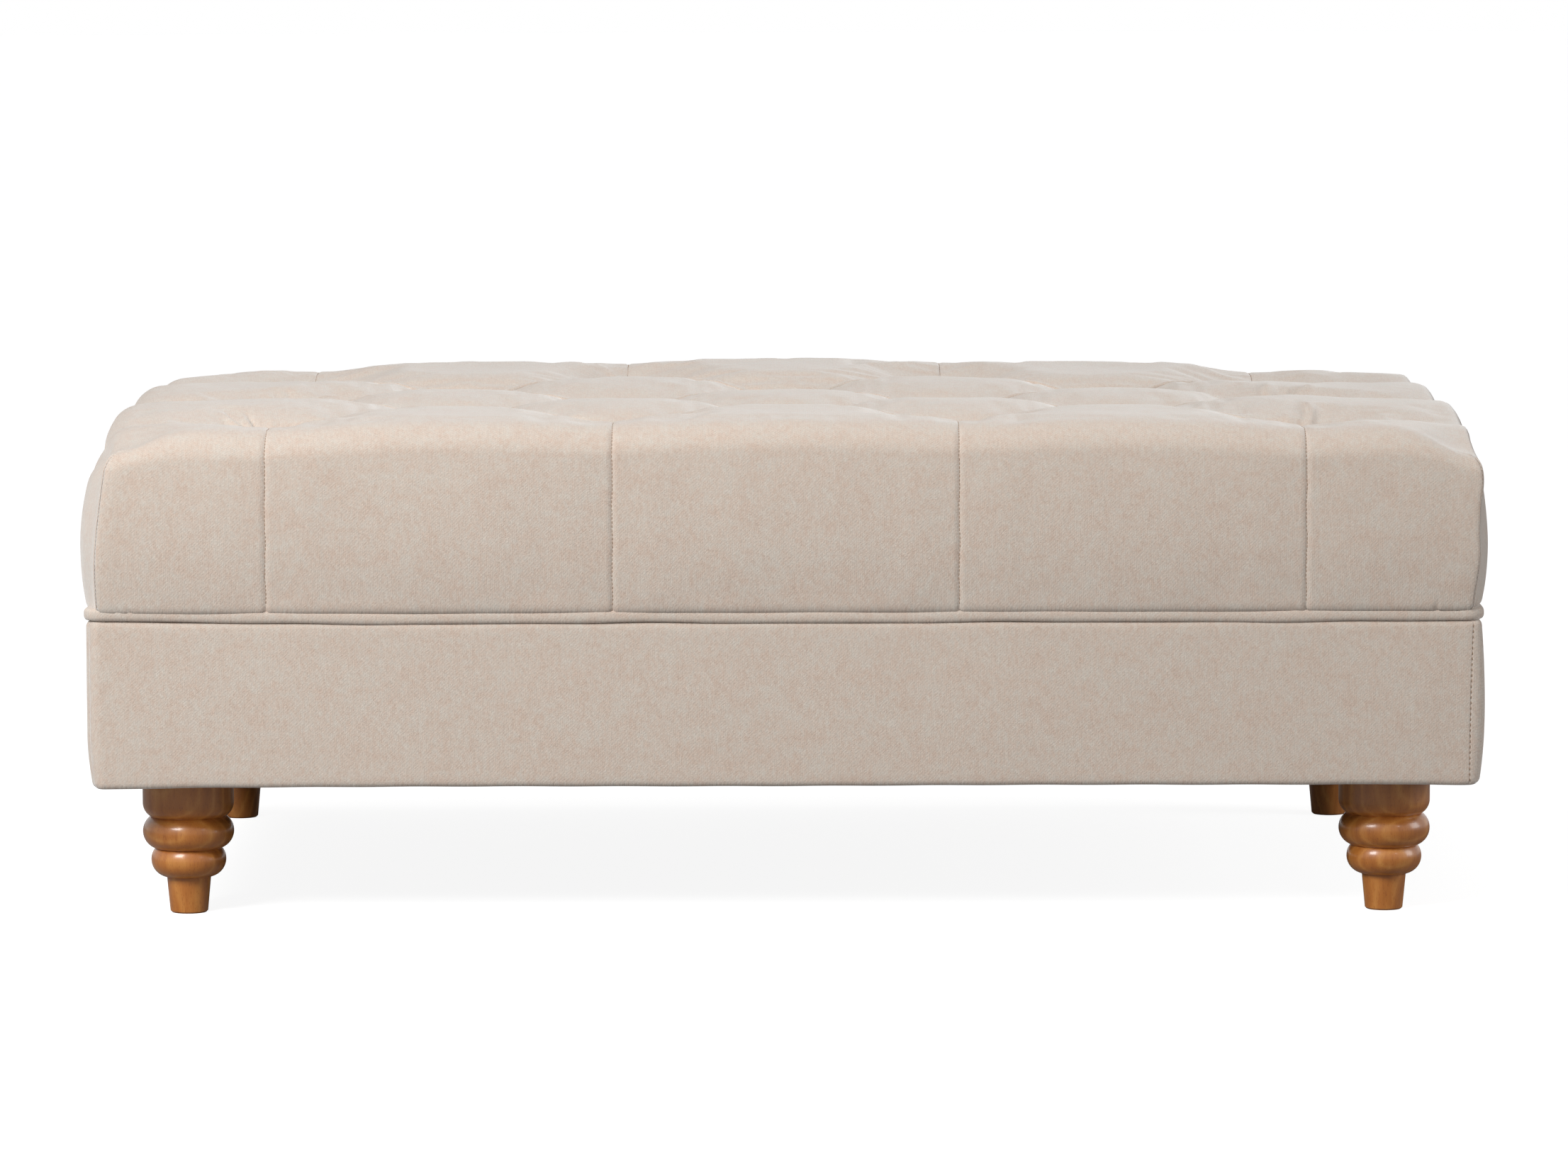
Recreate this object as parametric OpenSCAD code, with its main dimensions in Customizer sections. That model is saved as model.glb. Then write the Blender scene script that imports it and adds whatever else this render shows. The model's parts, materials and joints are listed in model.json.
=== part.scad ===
// Long upholstered bench with a deep-buttoned diamond top, a welted joint and four turned feet.
// X runs along the bench, the front faces -Y and the feet stand on Z = 0. Millimetres.

/* [Base] */
// Length over the covered base
base_l = 1190; // [980:5:1420]
// Depth over the covered base, front to back
base_d = 786; // [650:2:940]
// Height of the rails of the base frame
rail_h = 136; // [113:1:162]
// Thickness of the rails
rail_t = 22; // [16:0.5:28]
// Rounding of the covered base's vertical corners
corner_r = 14; // [11:0.5:18]

/* [Seat] */
// How far the pad's sides swell out past the base
pad_swell = 9; // [6:0.5:12]
// Height of the crest of the pad above its board
pad_h = 155; // [130:1:186]
// Distance between neighbouring buttons in one row
col_gap = 294; // [240:1:352]
// Distance between neighbouring rows of buttons
row_gap = 125; // [100:1:150]
// How deep the buttons are pulled below the crest
tuft_depth = 40; // [30:1:48]
// Height of the foam block
foam_h = 113; // [94:1:118]
// Thickness of the plywood board under the seat
board_t = 15; // [12:0.5:18]
// Diameter of the covered buttons
button_d = 24; // [19:0.5:29]
// Diameter of the welt around the foot of the seat
welt_d = 8.4; // [6.9:0.1:10]

/* [Feet] */
// Height of the turned feet
foot_h = 118; // [100:1:141]
// Distance from the base's faces to the middle of each foot
foot_inset = 80; // [67:1:96]
// Diameter of the drum at the top of the foot
drum_d = 78.4; // [65:0.2:94]
// Diameter of the upper bead
upper_bead_d = 78.4; // [65:0.2:94]
// Diameter of the lower bead
lower_bead_d = 64.4; // [53:0.2:77]
// Diameter of the taper just under the lower bead
taper_top_d = 38.2; // [32:0.2:46]
// Diameter of the taper at the floor
taper_end_d = 32.4; // [27:0.2:38]

/* [Hidden] */
$fn = 64;

// Clearances and the one overrun that every cut uses
rest_gap = 0.3;
hole_gap = 0.1;
over = 1;

// Cloth, wadding and lining
fabric_t = 1.8;
wadding_t = 6.3;
lining_t = 0.8;
lining_inset = 10;
turn_under = 26;
turn_over = 18;
base_low_r = 5;
base_top_r = 6;
wadding_short = 5;

// Levels of the base, from the floor up
frame_z = foot_h + lining_t + fabric_t;
rail_top = frame_z + rail_h;
base_top = rail_top + fabric_t;
lip_t = 1.5;
board_z = base_top + lip_t;
foam_z = board_z + board_t;
crest_z = board_z + board_t + pad_h;

// Plan sizes of the frame
frame_in = fabric_t + rest_gap + wadding_t + rest_gap;
frame_l = base_l - 2 * frame_in;
frame_d = base_d - 2 * frame_in;
inner_l = frame_l - 2 * rail_t;
inner_d = frame_d - 2 * rail_t;

// Cross rails, which carry the board between the button holes
cross_t = 22;
cross_h = 70;
cross_x = col_gap * 3 / 4;
cross_top = board_z - rest_gap;

// Foot blocks
block_w = 120;
block_h = 35;
block_cut = 45;

// Turned foot: heights of the beads above the floor and the roundings of its profile
drum_z = 95.2;
drum_round = 13.6;
upper_bead_z = 70.6;
upper_bead_round = 15.6;
lower_bead_z = 46;
lower_bead_round = 15.3;
taper_z = 32;
floor_round = 1.4;

// Hanger bolts and tee nuts
bolt_d = 8;
bolt_in_foot = 36;
bolt_proud = 6;
bolt_tip = 1;
nut_barrel_d = 10.4;
nut_barrel_l = 12;
nut_flange_d = 24;
nut_flange_t = 1.6;
lining_hole_d = 12;

// Dowels and screws of the frame
dowel_d = 10;
dowel_l = 40;
dowel_in_rail = 14;
dowel_end_gap = 1;
dowel_tip = 1;
dowel_height_shares = [0.42, 0.8];
cross_dowel_shares = [0.3, 0.7];
screw_d = 4.6;
screw_head_d = 9;
screw_head_h = 3.2;
screw_tip = 3;
screw_in_block = 26;
pad_screw_bite = 10;
pad_screw_l = 48;
pad_screw_bore_d = 11;
pad_screw_shares = [-0.6, 0, 0.6];

// Seat board and foam
board_in = 12;
board_corner_r = 26;
board_hole_d = 10;
foam_in = 6;
foam_corner_r = 38;
foam_edge_r = 30;

// Welt
welt_r = welt_d / 2;
welt_z = board_z + welt_d / 4;
welt_lip = 20;
welt_out = 2;
welt_corner_r = 12;

// Plan of the seat board
board_l = base_l - 2 * board_in;
board_d = base_d - 2 * board_in;

// Form of the pad: how far each ring of its side wall stands out past the base, and its height
pad_foot_z = welt_z + welt_r + rest_gap;
pad_top_in = 7;
pad_foot_out = 5;
pad_shoulder_out = 5;
wall_height_shares = [0.86, 0.42, 0];
wall_out = [pad_shoulder_out, pad_swell, pad_foot_out];
wall_pinch = [21, 17, 12];
top_pinch = 14;
pinch_run = 32;
seam_dip = 2;
seam_run = 26;

// Crown, edge roll and tufts of the pad's top
roll_w = 45;
roll_drop = 32;
roll_power = 3;
corner_drop = 17;
corner_run = 60;
crown_power = 3;
crown_drop = 7;
inner_drop = 5;
pleat_depth = 11;
inner_seam_rise = 7;
pleat_power = 0.5;
button_reach = 88;
button_seat = 0.5;
cloth_under_button = 6;
foam_pocket_d = 42;
margin_shares = [0.38, 0.7, 0.88, 1];
cells_per_col = 8;
cells_per_row = 4;

// Buttons, twines and washers
button_h = 8;
button_rim = 2;
twine_d = 2.4;
twine_gap = 0.3;
knot_d = 6;
knot_gap = 0.2;
washer_d = 25;
washer_t = 2;

// Reach of the button field and of the top's rim
field_x = 1.5 * col_gap;
field_y = 2 * row_gap;
rim_x = base_l / 2 - pad_top_in;
rim_y = base_d / 2 - pad_top_in;

// Buttons stand in five rows: three aligned rows, and two rows between them that are set half a gap over
button_xy = concat(
    [for (row = [-1:1], col = [-1.5:1:1.5]) [col * col_gap, 2 * row * row_gap]],
    [for (row = [-1, 1], col = [-1:1]) [col * col_gap, row * row_gap]]
);

wood = "peru";
pine = "burlywood";
cloth = "antiquewhite";
steel = "silver";

// Sum of the rising and falling diamond coordinates, which are whole numbers along the pleats
function rising(x, y) = x / col_gap + y / (2 * row_gap) + 0.5;
function falling(x, y) = x / col_gap - y / (2 * row_gap) + 0.5;
function clamp01(t) = min(1, max(0, t));

// Share of a pillow's full height: 0 along the pleats and seams, 1 in the middle of a pillow
function pillow_share(x, y) =
    let (ax = abs(x), ay = abs(y))
    ax <= field_x && ay <= field_y
        ? abs(sin(180 * rising(x, y)) * sin(180 * falling(x, y)))
        : ax <= field_x
            ? pow(sin(180 * (x / col_gap + 0.5)), 2)
            : ay <= field_y
                ? pow(sin(90 * y / row_gap), 2)
                : pow(sin(90 * clamp01(2 * (ax - field_x) / col_gap))
                    * sin(90 * clamp01((ay - field_y) / row_gap)), 2);

// Depth of a pleat, which grows towards the nearest button
function nearest_button(x, y) = min([for (b = button_xy) norm([x - b[0], y - b[1]])]);
function seam_rise(x, y) =
    inner_seam_rise * clamp01(1 - abs(x) / field_x) * clamp01(2 * (abs(y) - field_y) / row_gap);
function valley(x, y) =
    pleat_depth - seam_rise(x, y)
    + (tuft_depth - pleat_depth) * pow(clamp01(1 - nearest_button(x, y) / button_reach), 1.5);

// Fall of the top towards its edges and corners
function roll(inside) = roll_drop * pow(clamp01(1 - inside / roll_w), roll_power);
function crown_fall(x, y) =
    crown_drop * pow(abs(x) / rim_x, crown_power)
    + inner_drop * pow(cos(90 * clamp01(abs(x) / field_x)), 0.5) * pow(cos(90 * clamp01(abs(y) / field_y)), 2);
function corner_fall(x, y) = corner_drop * exp(-pow(norm([rim_x - abs(x), rim_y - abs(y)]) / corner_run, 2));
function top_z(x, y) =
    crest_z - crown_fall(x, y) - corner_fall(x, y)
    - roll(base_l / 2 + pad_swell - abs(x)) - roll(base_d / 2 + pad_swell - abs(y))
    - valley(x, y) * (1 - pow(pillow_share(x, y), pleat_power));

// Lines of the top's grid: the button field in even cells, then the margin's cells out to the rim
function grid_lines(field, rim, cells) = concat(
    [for (i = [len(margin_shares) - 1:-1:0]) -field - margin_shares[i] * (rim - field)],
    [for (i = [0:cells]) -field + 2 * field * i / cells],
    [for (share = margin_shares) field + share * (rim - field)]
);
grid_x = grid_lines(field_x, rim_x, 3 * cells_per_col);
grid_y = grid_lines(field_y, rim_y, 4 * cells_per_row);
nx = len(grid_x);
ny = len(grid_y);

// Places round the rim, anticlockwise from the front left corner
rim_ij = concat(
    [for (i = [0:nx - 2]) [i, 0]],
    [for (j = [0:ny - 2]) [nx - 1, j]],
    [for (i = [nx - 1:-1:1]) [i, ny - 1]],
    [for (j = [ny - 1:-1:1]) [0, j]]
);
nr = len(rim_ij);

// The cover is drawn in at its corners, and a little where a seam runs down to the welt
function corner_pull(from_corner, pinch) = pinch * exp(-pow(from_corner / pinch_run, 2));
function seam_pull(v, gap, shift) =
    let (from_seam = abs((v / gap + shift) - round(v / gap + shift)) * gap)
    seam_dip * exp(-pow(from_seam / seam_run, 2));
function ring_point(ij, out, pinch, dip) =
    let (
        x = grid_x[ij[0]], y = grid_y[ij[1]],
        end = ij[0] == 0 || ij[0] == nx - 1, face = ij[1] == 0 || ij[1] == ny - 1,
        half_x = base_l / 2 + out, half_y = base_d / 2 + out,
        side_x = half_x - corner_pull(rim_y - abs(y), pinch) - dip * seam_pull(y, 2 * row_gap, 0),
        side_y = half_y - corner_pull(rim_x - abs(x), pinch) - dip * seam_pull(x, col_gap, 0.5)
    )
    [
        end && face ? sign(x) * (half_x - pinch) : end ? sign(x) * side_x : x * (half_x - pinch) / rim_x,
        end && face ? sign(y) * (half_y - pinch) : face ? sign(y) * side_y : y * (half_y - pinch) / rim_y
    ];

top_points = [
    for (j = [0:ny - 1], i = [0:nx - 1])
        let (
            x = grid_x[i], y = grid_y[j],
            at_rim = i == 0 || i == nx - 1 || j == 0 || j == ny - 1,
            p = at_rim ? ring_point([i, j], -pad_top_in, top_pinch, 0) : [x, y]
        )
        [p[0], p[1], top_z(x, y)]
];
wall_points = [
    for (k = [0:len(wall_out) - 1], ij = rim_ij)
        let (
            p = ring_point(ij, wall_out[k], wall_pinch[k], 1),
            rim_z = top_z(grid_x[ij[0]], grid_y[ij[1]])
        )
        [p[0], p[1], pad_foot_z + wall_height_shares[k] * (rim_z - pad_foot_z)]
];
function top_index(i, j) = j * nx + i;
function wall_index(k, n) =
    k < 0 ? top_index(rim_ij[n % nr][0], rim_ij[n % nr][1]) : nx * ny + k * nr + n % nr;

// Each cell is split along the pleat that crosses it, and a corner cell towards its corner
function off_whole(t) = abs(t - round(t));
function splits_rising(i, j) =
    let (x = (grid_x[i] + grid_x[i + 1]) / 2, y = (grid_y[j] + grid_y[j + 1]) / 2)
    abs(x) > field_x || abs(y) > field_y
        ? x * y > 0
        : off_whole(falling(x, y)) < off_whole(rising(x, y));
top_faces = [
    for (j = [0:ny - 2], i = [0:nx - 2])
        let (
            a = top_index(i, j), b = top_index(i + 1, j),
            c = top_index(i + 1, j + 1), d = top_index(i, j + 1)
        )
        each splits_rising(i, j) ? [[a, c, b], [a, d, c]] : [[a, d, b], [b, d, c]]
];
wall_faces = [
    for (k = [-1:len(wall_out) - 2], n = [0:nr - 1])
        let (
            a = wall_index(k, n), b = wall_index(k, n + 1),
            c = wall_index(k + 1, n + 1), d = wall_index(k + 1, n)
        )
        each [[a, b, c], [a, c, d]]
];
under_faces = [
    for (n = [0:nr - 1])
        [wall_index(len(wall_out) - 1, n), wall_index(len(wall_out) - 1, n + 1), nx * ny + len(wall_out) * nr]
];

// Bottom of each button's seat in the cover
function button_z(b) = top_z(b[0], b[1]) - button_seat;

// Rectangle with round corners, drawn from true arcs
module rounded_plan(l, d, r) {
    square([l - 2 * r, d], center = true);
    square([l, d - 2 * r], center = true);
    for (x = [-1, 1], y = [-1, 1])
        translate([x * (l / 2 - r), y * (d / 2 - r)]) circle(r);
}

// Upright section with a flat foot and two round shoulders
module shouldered_section(w, h, r) {
    translate([-w / 2, 0]) square([w, h - r]);
    translate([-w / 2 + r, 0]) square([w - 2 * r, h]);
    for (x = [-1, 1]) translate([x * (w / 2 - r), h - r]) circle(r);
}

module at_feet() {
    for (x = [-1, 1], y = [-1, 1])
        translate([x * (base_l / 2 - foot_inset), y * (base_d / 2 - foot_inset), 0]) children();
}

// Feet

module bead_profile(d, z, round) {
    translate([d / 2 - round, z]) circle(round);
}

module foot_profile() {
    intersection() {
        union() {
            translate([0, drum_z]) square([drum_d / 2, foot_h - drum_z]);
            translate([0, drum_z - drum_round]) square([drum_d / 2 - drum_round, drum_round + over]);
            translate([drum_d / 2 - drum_round, drum_z]) circle(drum_round);
            bead_profile(upper_bead_d, upper_bead_z, upper_bead_round);
            bead_profile(lower_bead_d, lower_bead_z, lower_bead_round);
            translate([0, taper_z - over])
                square([lower_bead_d / 2 - lower_bead_round, upper_bead_z - taper_z + over]);
            translate([0, (lower_bead_z + upper_bead_z) / 2])
                square([upper_bead_d / 2 - upper_bead_round, drum_z - (lower_bead_z + upper_bead_z) / 2]);
            polygon([
                [0, 0],
                [taper_end_d / 2 - floor_round, 0],
                [taper_end_d / 2, floor_round],
                [taper_top_d / 2, taper_z],
                [0, taper_z]
            ]);
        }
        square([base_l, foot_h]);
    }
}

module foot(x, y) {
    color(wood)
        translate([x * (base_l / 2 - foot_inset), y * (base_d / 2 - foot_inset), 0])
            difference() {
                rotate_extrude() foot_profile();
                translate([0, 0, foot_h - bolt_in_foot - rest_gap])
                    cylinder(d = bolt_d + 2 * hole_gap, h = bolt_in_foot + rest_gap + over);
            }
}

module hanger_bolts() {
    bolt_l = bolt_in_foot + frame_z - foot_h + block_h + nut_flange_t + bolt_proud;
    color(steel) at_feet() translate([0, 0, foot_h - bolt_in_foot]) {
        translate([0, 0, bolt_tip]) cylinder(d = bolt_d, h = bolt_l - 2 * bolt_tip);
        cylinder(d1 = bolt_d - 2 * bolt_tip, d2 = bolt_d, h = bolt_tip);
        translate([0, 0, bolt_l - bolt_tip]) cylinder(d1 = bolt_d, d2 = bolt_d - 2 * bolt_tip, h = bolt_tip);
    }
}

module tee_nuts() {
    color(steel) at_feet() translate([0, 0, frame_z + block_h])
        difference() {
            union() {
                cylinder(d = nut_flange_d, h = nut_flange_t);
                translate([0, 0, -nut_barrel_l]) cylinder(d = nut_barrel_d, h = nut_barrel_l + nut_flange_t);
            }
            translate([0, 0, -nut_barrel_l - over])
                cylinder(d = bolt_d + 2 * hole_gap, h = nut_barrel_l + nut_flange_t + 2 * over);
        }
}

// Base frame

module foot_block(x, y) {
    in_x = inner_l / 2 - rest_gap;
    in_y = inner_d / 2 - rest_gap;
    color(pine) difference() {
        scale([x, y, 1]) translate([0, 0, frame_z]) linear_extrude(block_h)
            polygon([
                [in_x, in_y],
                [in_x - block_w, in_y],
                [in_x - block_w, in_y - block_w + block_cut],
                [in_x - block_w + block_cut, in_y - block_w],
                [in_x, in_y - block_w]
            ]);
        at_feet() translate([0, 0, frame_z - over])
            cylinder(d = nut_barrel_d + 2 * hole_gap, h = block_h + 2 * over);
        place_block_screws() screw_hole();
    }
}

// One screw per rail end, driven from outside through the rail into the foot block
module place_block_screws() {
    z = frame_z + block_h / 2;
    for (x = [-1, 1], y = [-1, 1]) {
        translate([x * (inner_l / 2 - block_w / 2), y * frame_d / 2, z]) rotate([y * 90, 0, 0]) children();
        translate([x * frame_l / 2, y * (inner_d / 2 - block_w / 2), z]) rotate([0, -x * 90, 0]) children();
    }
}

module screw_body(length, grow) {
    cylinder(d1 = screw_head_d + 2 * grow, d2 = screw_d + 2 * grow, h = screw_head_h);
    cylinder(d = screw_d + 2 * grow, h = length - screw_tip);
    translate([0, 0, length - screw_tip]) cylinder(d1 = screw_d + 2 * grow, d2 = screw_d / 2, h = screw_tip + grow);
}

module screw_hole() {
    screw_body(rail_t + screw_in_block, hole_gap);
}

module block_screws() {
    color(steel) place_block_screws() screw_body(rail_t + screw_in_block, 0);
}

// Dowels lie along Y, through the ends of the side rails and cross rails into the long rails
module place_dowels() {
    for (y = [-1, 1]) {
        for (x = [-1, 1], share = dowel_height_shares)
            translate([x * (frame_l - rail_t) / 2, y * (inner_d / 2 + dowel_in_rail), frame_z + share * rail_h])
                rotate([y * 90, 0, 0]) children();
        for (x = [-1, 1], share = cross_dowel_shares)
            translate([x * cross_x, y * (inner_d / 2 + dowel_in_rail), cross_top - cross_h + share * cross_h])
                rotate([y * 90, 0, 0]) children();
    }
}

module dowel_hole() {
    translate([0, 0, -dowel_end_gap])
        cylinder(d = dowel_d + 2 * hole_gap, h = dowel_l + 2 * dowel_end_gap);
}

module frame_dowels() {
    color(pine) place_dowels() {
        cylinder(d1 = dowel_d - 2 * dowel_tip, d2 = dowel_d, h = dowel_tip);
        translate([0, 0, dowel_tip]) cylinder(d = dowel_d, h = dowel_l - 2 * dowel_tip);
        translate([0, 0, dowel_l - dowel_tip]) cylinder(d1 = dowel_d, d2 = dowel_d - 2 * dowel_tip, h = dowel_tip);
    }
}

module long_rail(y) {
    color(pine) difference() {
        translate([-frame_l / 2, y > 0 ? frame_d / 2 - rail_t : -frame_d / 2, frame_z])
            cube([frame_l, rail_t, rail_h]);
        place_dowels() dowel_hole();
        place_block_screws() screw_hole();
    }
}

module side_rail(x) {
    color(pine) difference() {
        translate([x > 0 ? frame_l / 2 - rail_t : -frame_l / 2, -inner_d / 2, frame_z])
            cube([rail_t, inner_d, rail_h]);
        place_dowels() dowel_hole();
        place_block_screws() screw_hole();
    }
}

module cross_rail(x) {
    color(pine) difference() {
        translate([x * cross_x - cross_t / 2, -inner_d / 2, cross_top - cross_h])
            cube([cross_t, inner_d, cross_h]);
        place_dowels() dowel_hole();
        place_pad_screws() {
            pad_screw_body(hole_gap);
            translate([0, 0, screw_head_h + hole_gap - cross_h]) cylinder(d = pad_screw_bore_d, h = cross_h);
        }
    }
}

// Screws up through the cross rails into the board; Z = 0 is the flat of the head
module place_pad_screws() {
    for (x = [-1, 1], share = pad_screw_shares)
        translate([x * cross_x, share * inner_d / 2, board_z + pad_screw_bite - pad_screw_l]) children();
}

module pad_screw_body(grow) {
    cylinder(d = screw_head_d + 2 * grow, h = screw_head_h + grow);
    cylinder(d = screw_d + 2 * grow, h = pad_screw_l - screw_tip);
    translate([0, 0, pad_screw_l - screw_tip]) cylinder(d1 = screw_d + 2 * grow, d2 = screw_d / 2, h = screw_tip + grow);
}

module pad_screws() {
    color(steel) place_pad_screws() pad_screw_body(0);
}

// Base covering

module base_wadding() {
    color(cloth) translate([0, 0, frame_z + wadding_short]) linear_extrude(rail_h - 2 * wadding_short)
        difference() {
            rounded_plan(
                base_l - 2 * (fabric_t + rest_gap),
                base_d - 2 * (fabric_t + rest_gap),
                corner_r - fabric_t - rest_gap
            );
            square([frame_l + 2 * rest_gap, frame_d + 2 * rest_gap], center = true);
        }
}

// Section of the covering: X = 0 is the outer face and the cloth runs towards -X
module band_outline(inset, depth) {
    low = base_low_r - inset;
    top = base_top_r - inset;
    height = base_top - frame_z + fabric_t - 2 * inset;
    translate([-inset, frame_z - fabric_t + inset]) {
        translate([-depth, 0]) square([depth - max(low, top), height]);
        translate([-max(low, top) - over, low]) square([max(low, top) + over, height - low - top]);
        translate([-max(low, top) - over, 0]) square([max(low, top) + over - low, height / 2]);
        translate([-max(low, top) - over, height / 2]) square([max(low, top) + over - top, height / 2]);
        translate([-low, low]) circle(low);
        translate([-top, height - top]) circle(top);
    }
}

module band_section() {
    difference() {
        band_outline(0, turn_under);
        band_outline(fabric_t, turn_under + over);
        translate([-turn_under - over, frame_z + rail_h / 2])
            square([turn_under - turn_over + over, rail_h]);
    }
}

module straight_band(length) {
    rotate([90, 0, 0]) translate([0, 0, -length / 2]) linear_extrude(length) band_section();
}

module corner_band() {
    rotate_extrude(angle = 90) intersection() {
        translate([corner_r, 0]) band_section();
        square([corner_r, 2 * base_top]);
    }
}

// The turned edges stop short at both ends, where the end pieces are folded in
module base_cover_face(y) {
    color(cloth) rotate([0, 0, y * 90]) difference() {
        translate([base_d / 2, 0, 0]) straight_band(base_l - 2 * corner_r);
        for (end = [-1, 1])
            translate([base_d / 2 - corner_r - turn_under, end * base_l / 2 - turn_under - rest_gap, 0])
                cube([turn_under, 2 * (turn_under + rest_gap), base_top + over]);
    }
}

module base_cover_end(x) {
    color(cloth) rotate([0, 0, x > 0 ? 0 : 180]) {
        translate([base_l / 2, 0, 0]) straight_band(base_d - 2 * corner_r);
        for (y = [-1, 1])
            translate([base_l / 2 - corner_r, y * (base_d / 2 - corner_r), 0])
                rotate([0, 0, y > 0 ? 0 : -90]) corner_band();
    }
}

module bottom_lining() {
    color("dimgray") translate([0, 0, foot_h]) linear_extrude(lining_t) difference() {
        square([base_l - 2 * lining_inset, base_d - 2 * lining_inset], center = true);
        for (x = [-1, 1], y = [-1, 1])
            translate([x * (base_l / 2 - foot_inset), y * (base_d / 2 - foot_inset)]) circle(d = lining_hole_d);
    }
}

// Seat

module welt_cord(run_l, run_d) {
    for (turn = [0, 180]) rotate([0, 0, turn]) {
        translate([0, run_d / 2, 0]) rotate([0, 90, 0])
            cylinder(r = welt_r, h = run_l - 2 * welt_corner_r, center = true);
        translate([run_l / 2, 0, 0]) rotate([90, 0, 0])
            cylinder(r = welt_r, h = run_d - 2 * welt_corner_r, center = true);
        for (end = [0, 1])
            translate([(end ? -1 : 1) * (run_l / 2 - welt_corner_r), run_d / 2 - welt_corner_r, 0])
                rotate([0, 0, end * 90])
                    rotate_extrude(angle = 90) translate([welt_corner_r, 0]) circle(welt_r);
    }
}

// The cord and the sewn lip that lies between the base and the seat board
module welt() {
    run_l = base_l + 2 * welt_out - welt_d;
    run_d = base_d + 2 * welt_out - welt_d;
    color(cloth) {
        translate([0, 0, welt_z]) welt_cord(run_l, run_d);
        translate([0, 0, base_top]) linear_extrude(lip_t) difference() {
            rounded_plan(run_l - welt_r, run_d - welt_r, welt_corner_r - welt_r / 2);
            square([run_l - 2 * welt_lip, run_d - 2 * welt_lip], center = true);
        }
    }
}

module board_form(grow) {
    linear_extrude(board_t + grow)
        rounded_plan(board_l + 2 * grow, board_d + 2 * grow, board_corner_r + grow);
}

module seat_board() {
    color(pine) difference() {
        translate([0, 0, board_z]) board_form(0);
        for (b = button_xy)
            translate([b[0], b[1], board_z - over]) cylinder(d = board_hole_d, h = board_t + 2 * over);
        place_pad_screws() pad_screw_body(hole_gap);
    }
}

module foam_form(grow) {
    l = board_l - 2 * foam_in + 2 * grow;
    d = board_d - 2 * foam_in + 2 * grow;
    h = foam_h + grow;
    intersection() {
        linear_extrude(h) rounded_plan(l, d, foam_corner_r + grow);
        rotate([90, 0, 0]) translate([0, 0, -d / 2 - over])
            linear_extrude(d + 2 * over) shouldered_section(l, h, foam_edge_r + grow);
        rotate([90, 0, 90]) translate([0, 0, -l / 2 - over])
            linear_extrude(l + 2 * over) shouldered_section(d, h, foam_edge_r + grow);
    }
}

module foam_body(grow) {
    difference() {
        translate([0, 0, foam_z]) foam_form(grow);
        for (b = button_xy)
            translate([b[0], b[1], button_z(b) - cloth_under_button + grow])
                cylinder(d = foam_pocket_d - 2 * grow, h = foam_h);
    }
}

module seat_foam() {
    color("khaki") difference() {
        foam_body(0);
        for (b = button_xy)
            translate([b[0], b[1], foam_z - over]) cylinder(d = twine_d + 2 * twine_gap, h = foam_h + 2 * over);
    }
}

module cover_form() {
    polyhedron(
        points = concat(top_points, wall_points, [[0, 0, pad_foot_z]]),
        faces = concat(top_faces, wall_faces, under_faces),
        convexity = 10
    );
}

module seat_cover() {
    color(cloth) difference() {
        cover_form();
        translate([0, 0, board_z]) board_form(rest_gap);
        foam_body(rest_gap);
        for (b = button_xy) translate([b[0], b[1], button_z(b)]) {
            cylinder(d = button_d + 2 * rest_gap, h = 2 * tuft_depth);
            translate([0, 0, -2 * cloth_under_button]) cylinder(d = twine_d + 2 * twine_gap, h = 2 * tuft_depth);
        }
    }
}

// Covered button: a flat back, an upright rim and a domed face
module button_body() {
    dome_h = button_h - button_rim;
    dome_r = (button_d * button_d / 4 + dome_h * dome_h) / (2 * dome_h);
    intersection() {
        cylinder(d = button_d, h = button_h + over);
        translate([0, 0, button_h - dome_r]) sphere(dome_r);
    }
}

module seat_buttons() {
    color(cloth)
        for (b = button_xy) translate([b[0], b[1], button_z(b) + rest_gap]) button_body();
}

module button_twines() {
    low = board_z - washer_t - knot_gap - knot_d / 2;
    color("ivory") for (b = button_xy) translate([b[0], b[1], low]) {
        sphere(d = knot_d);
        cylinder(d = twine_d, h = button_z(b) + rest_gap - low);
    }
}

module twine_washers() {
    color(steel) for (b = button_xy)
        translate([b[0], b[1], board_z - washer_t]) difference() {
            cylinder(d = washer_d, h = washer_t);
            translate([0, 0, -over]) cylinder(d = twine_d + 2 * hole_gap, h = washer_t + 2 * over);
        }
}

foot(-1, -1);  // foot_front_left
foot(1, -1);  // foot_front_right
foot(-1, 1);  // foot_rear_left
foot(1, 1);  // foot_rear_right
hanger_bolts();
tee_nuts();
foot_block(-1, -1);  // foot_block_front_left
foot_block(1, -1);  // foot_block_front_right
foot_block(-1, 1);  // foot_block_rear_left
foot_block(1, 1);  // foot_block_rear_right
long_rail(-1);  // front_rail
long_rail(1);  // rear_rail
side_rail(-1);  // left_rail
side_rail(1);  // right_rail
cross_rail(-1);  // cross_rail_left
cross_rail(1);  // cross_rail_right
frame_dowels();
block_screws();
base_wadding();
base_cover_face(-1);  // base_cover_front
base_cover_face(1);  // base_cover_rear
base_cover_end(-1);  // base_cover_left
base_cover_end(1);  // base_cover_right
bottom_lining();
welt();
seat_board();
pad_screws();
seat_foam();
seat_cover();
seat_buttons();
button_twines();
twine_washers();
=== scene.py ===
import json
import math

import bpy
import numpy as np
from mathutils import Matrix, Vector


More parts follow.
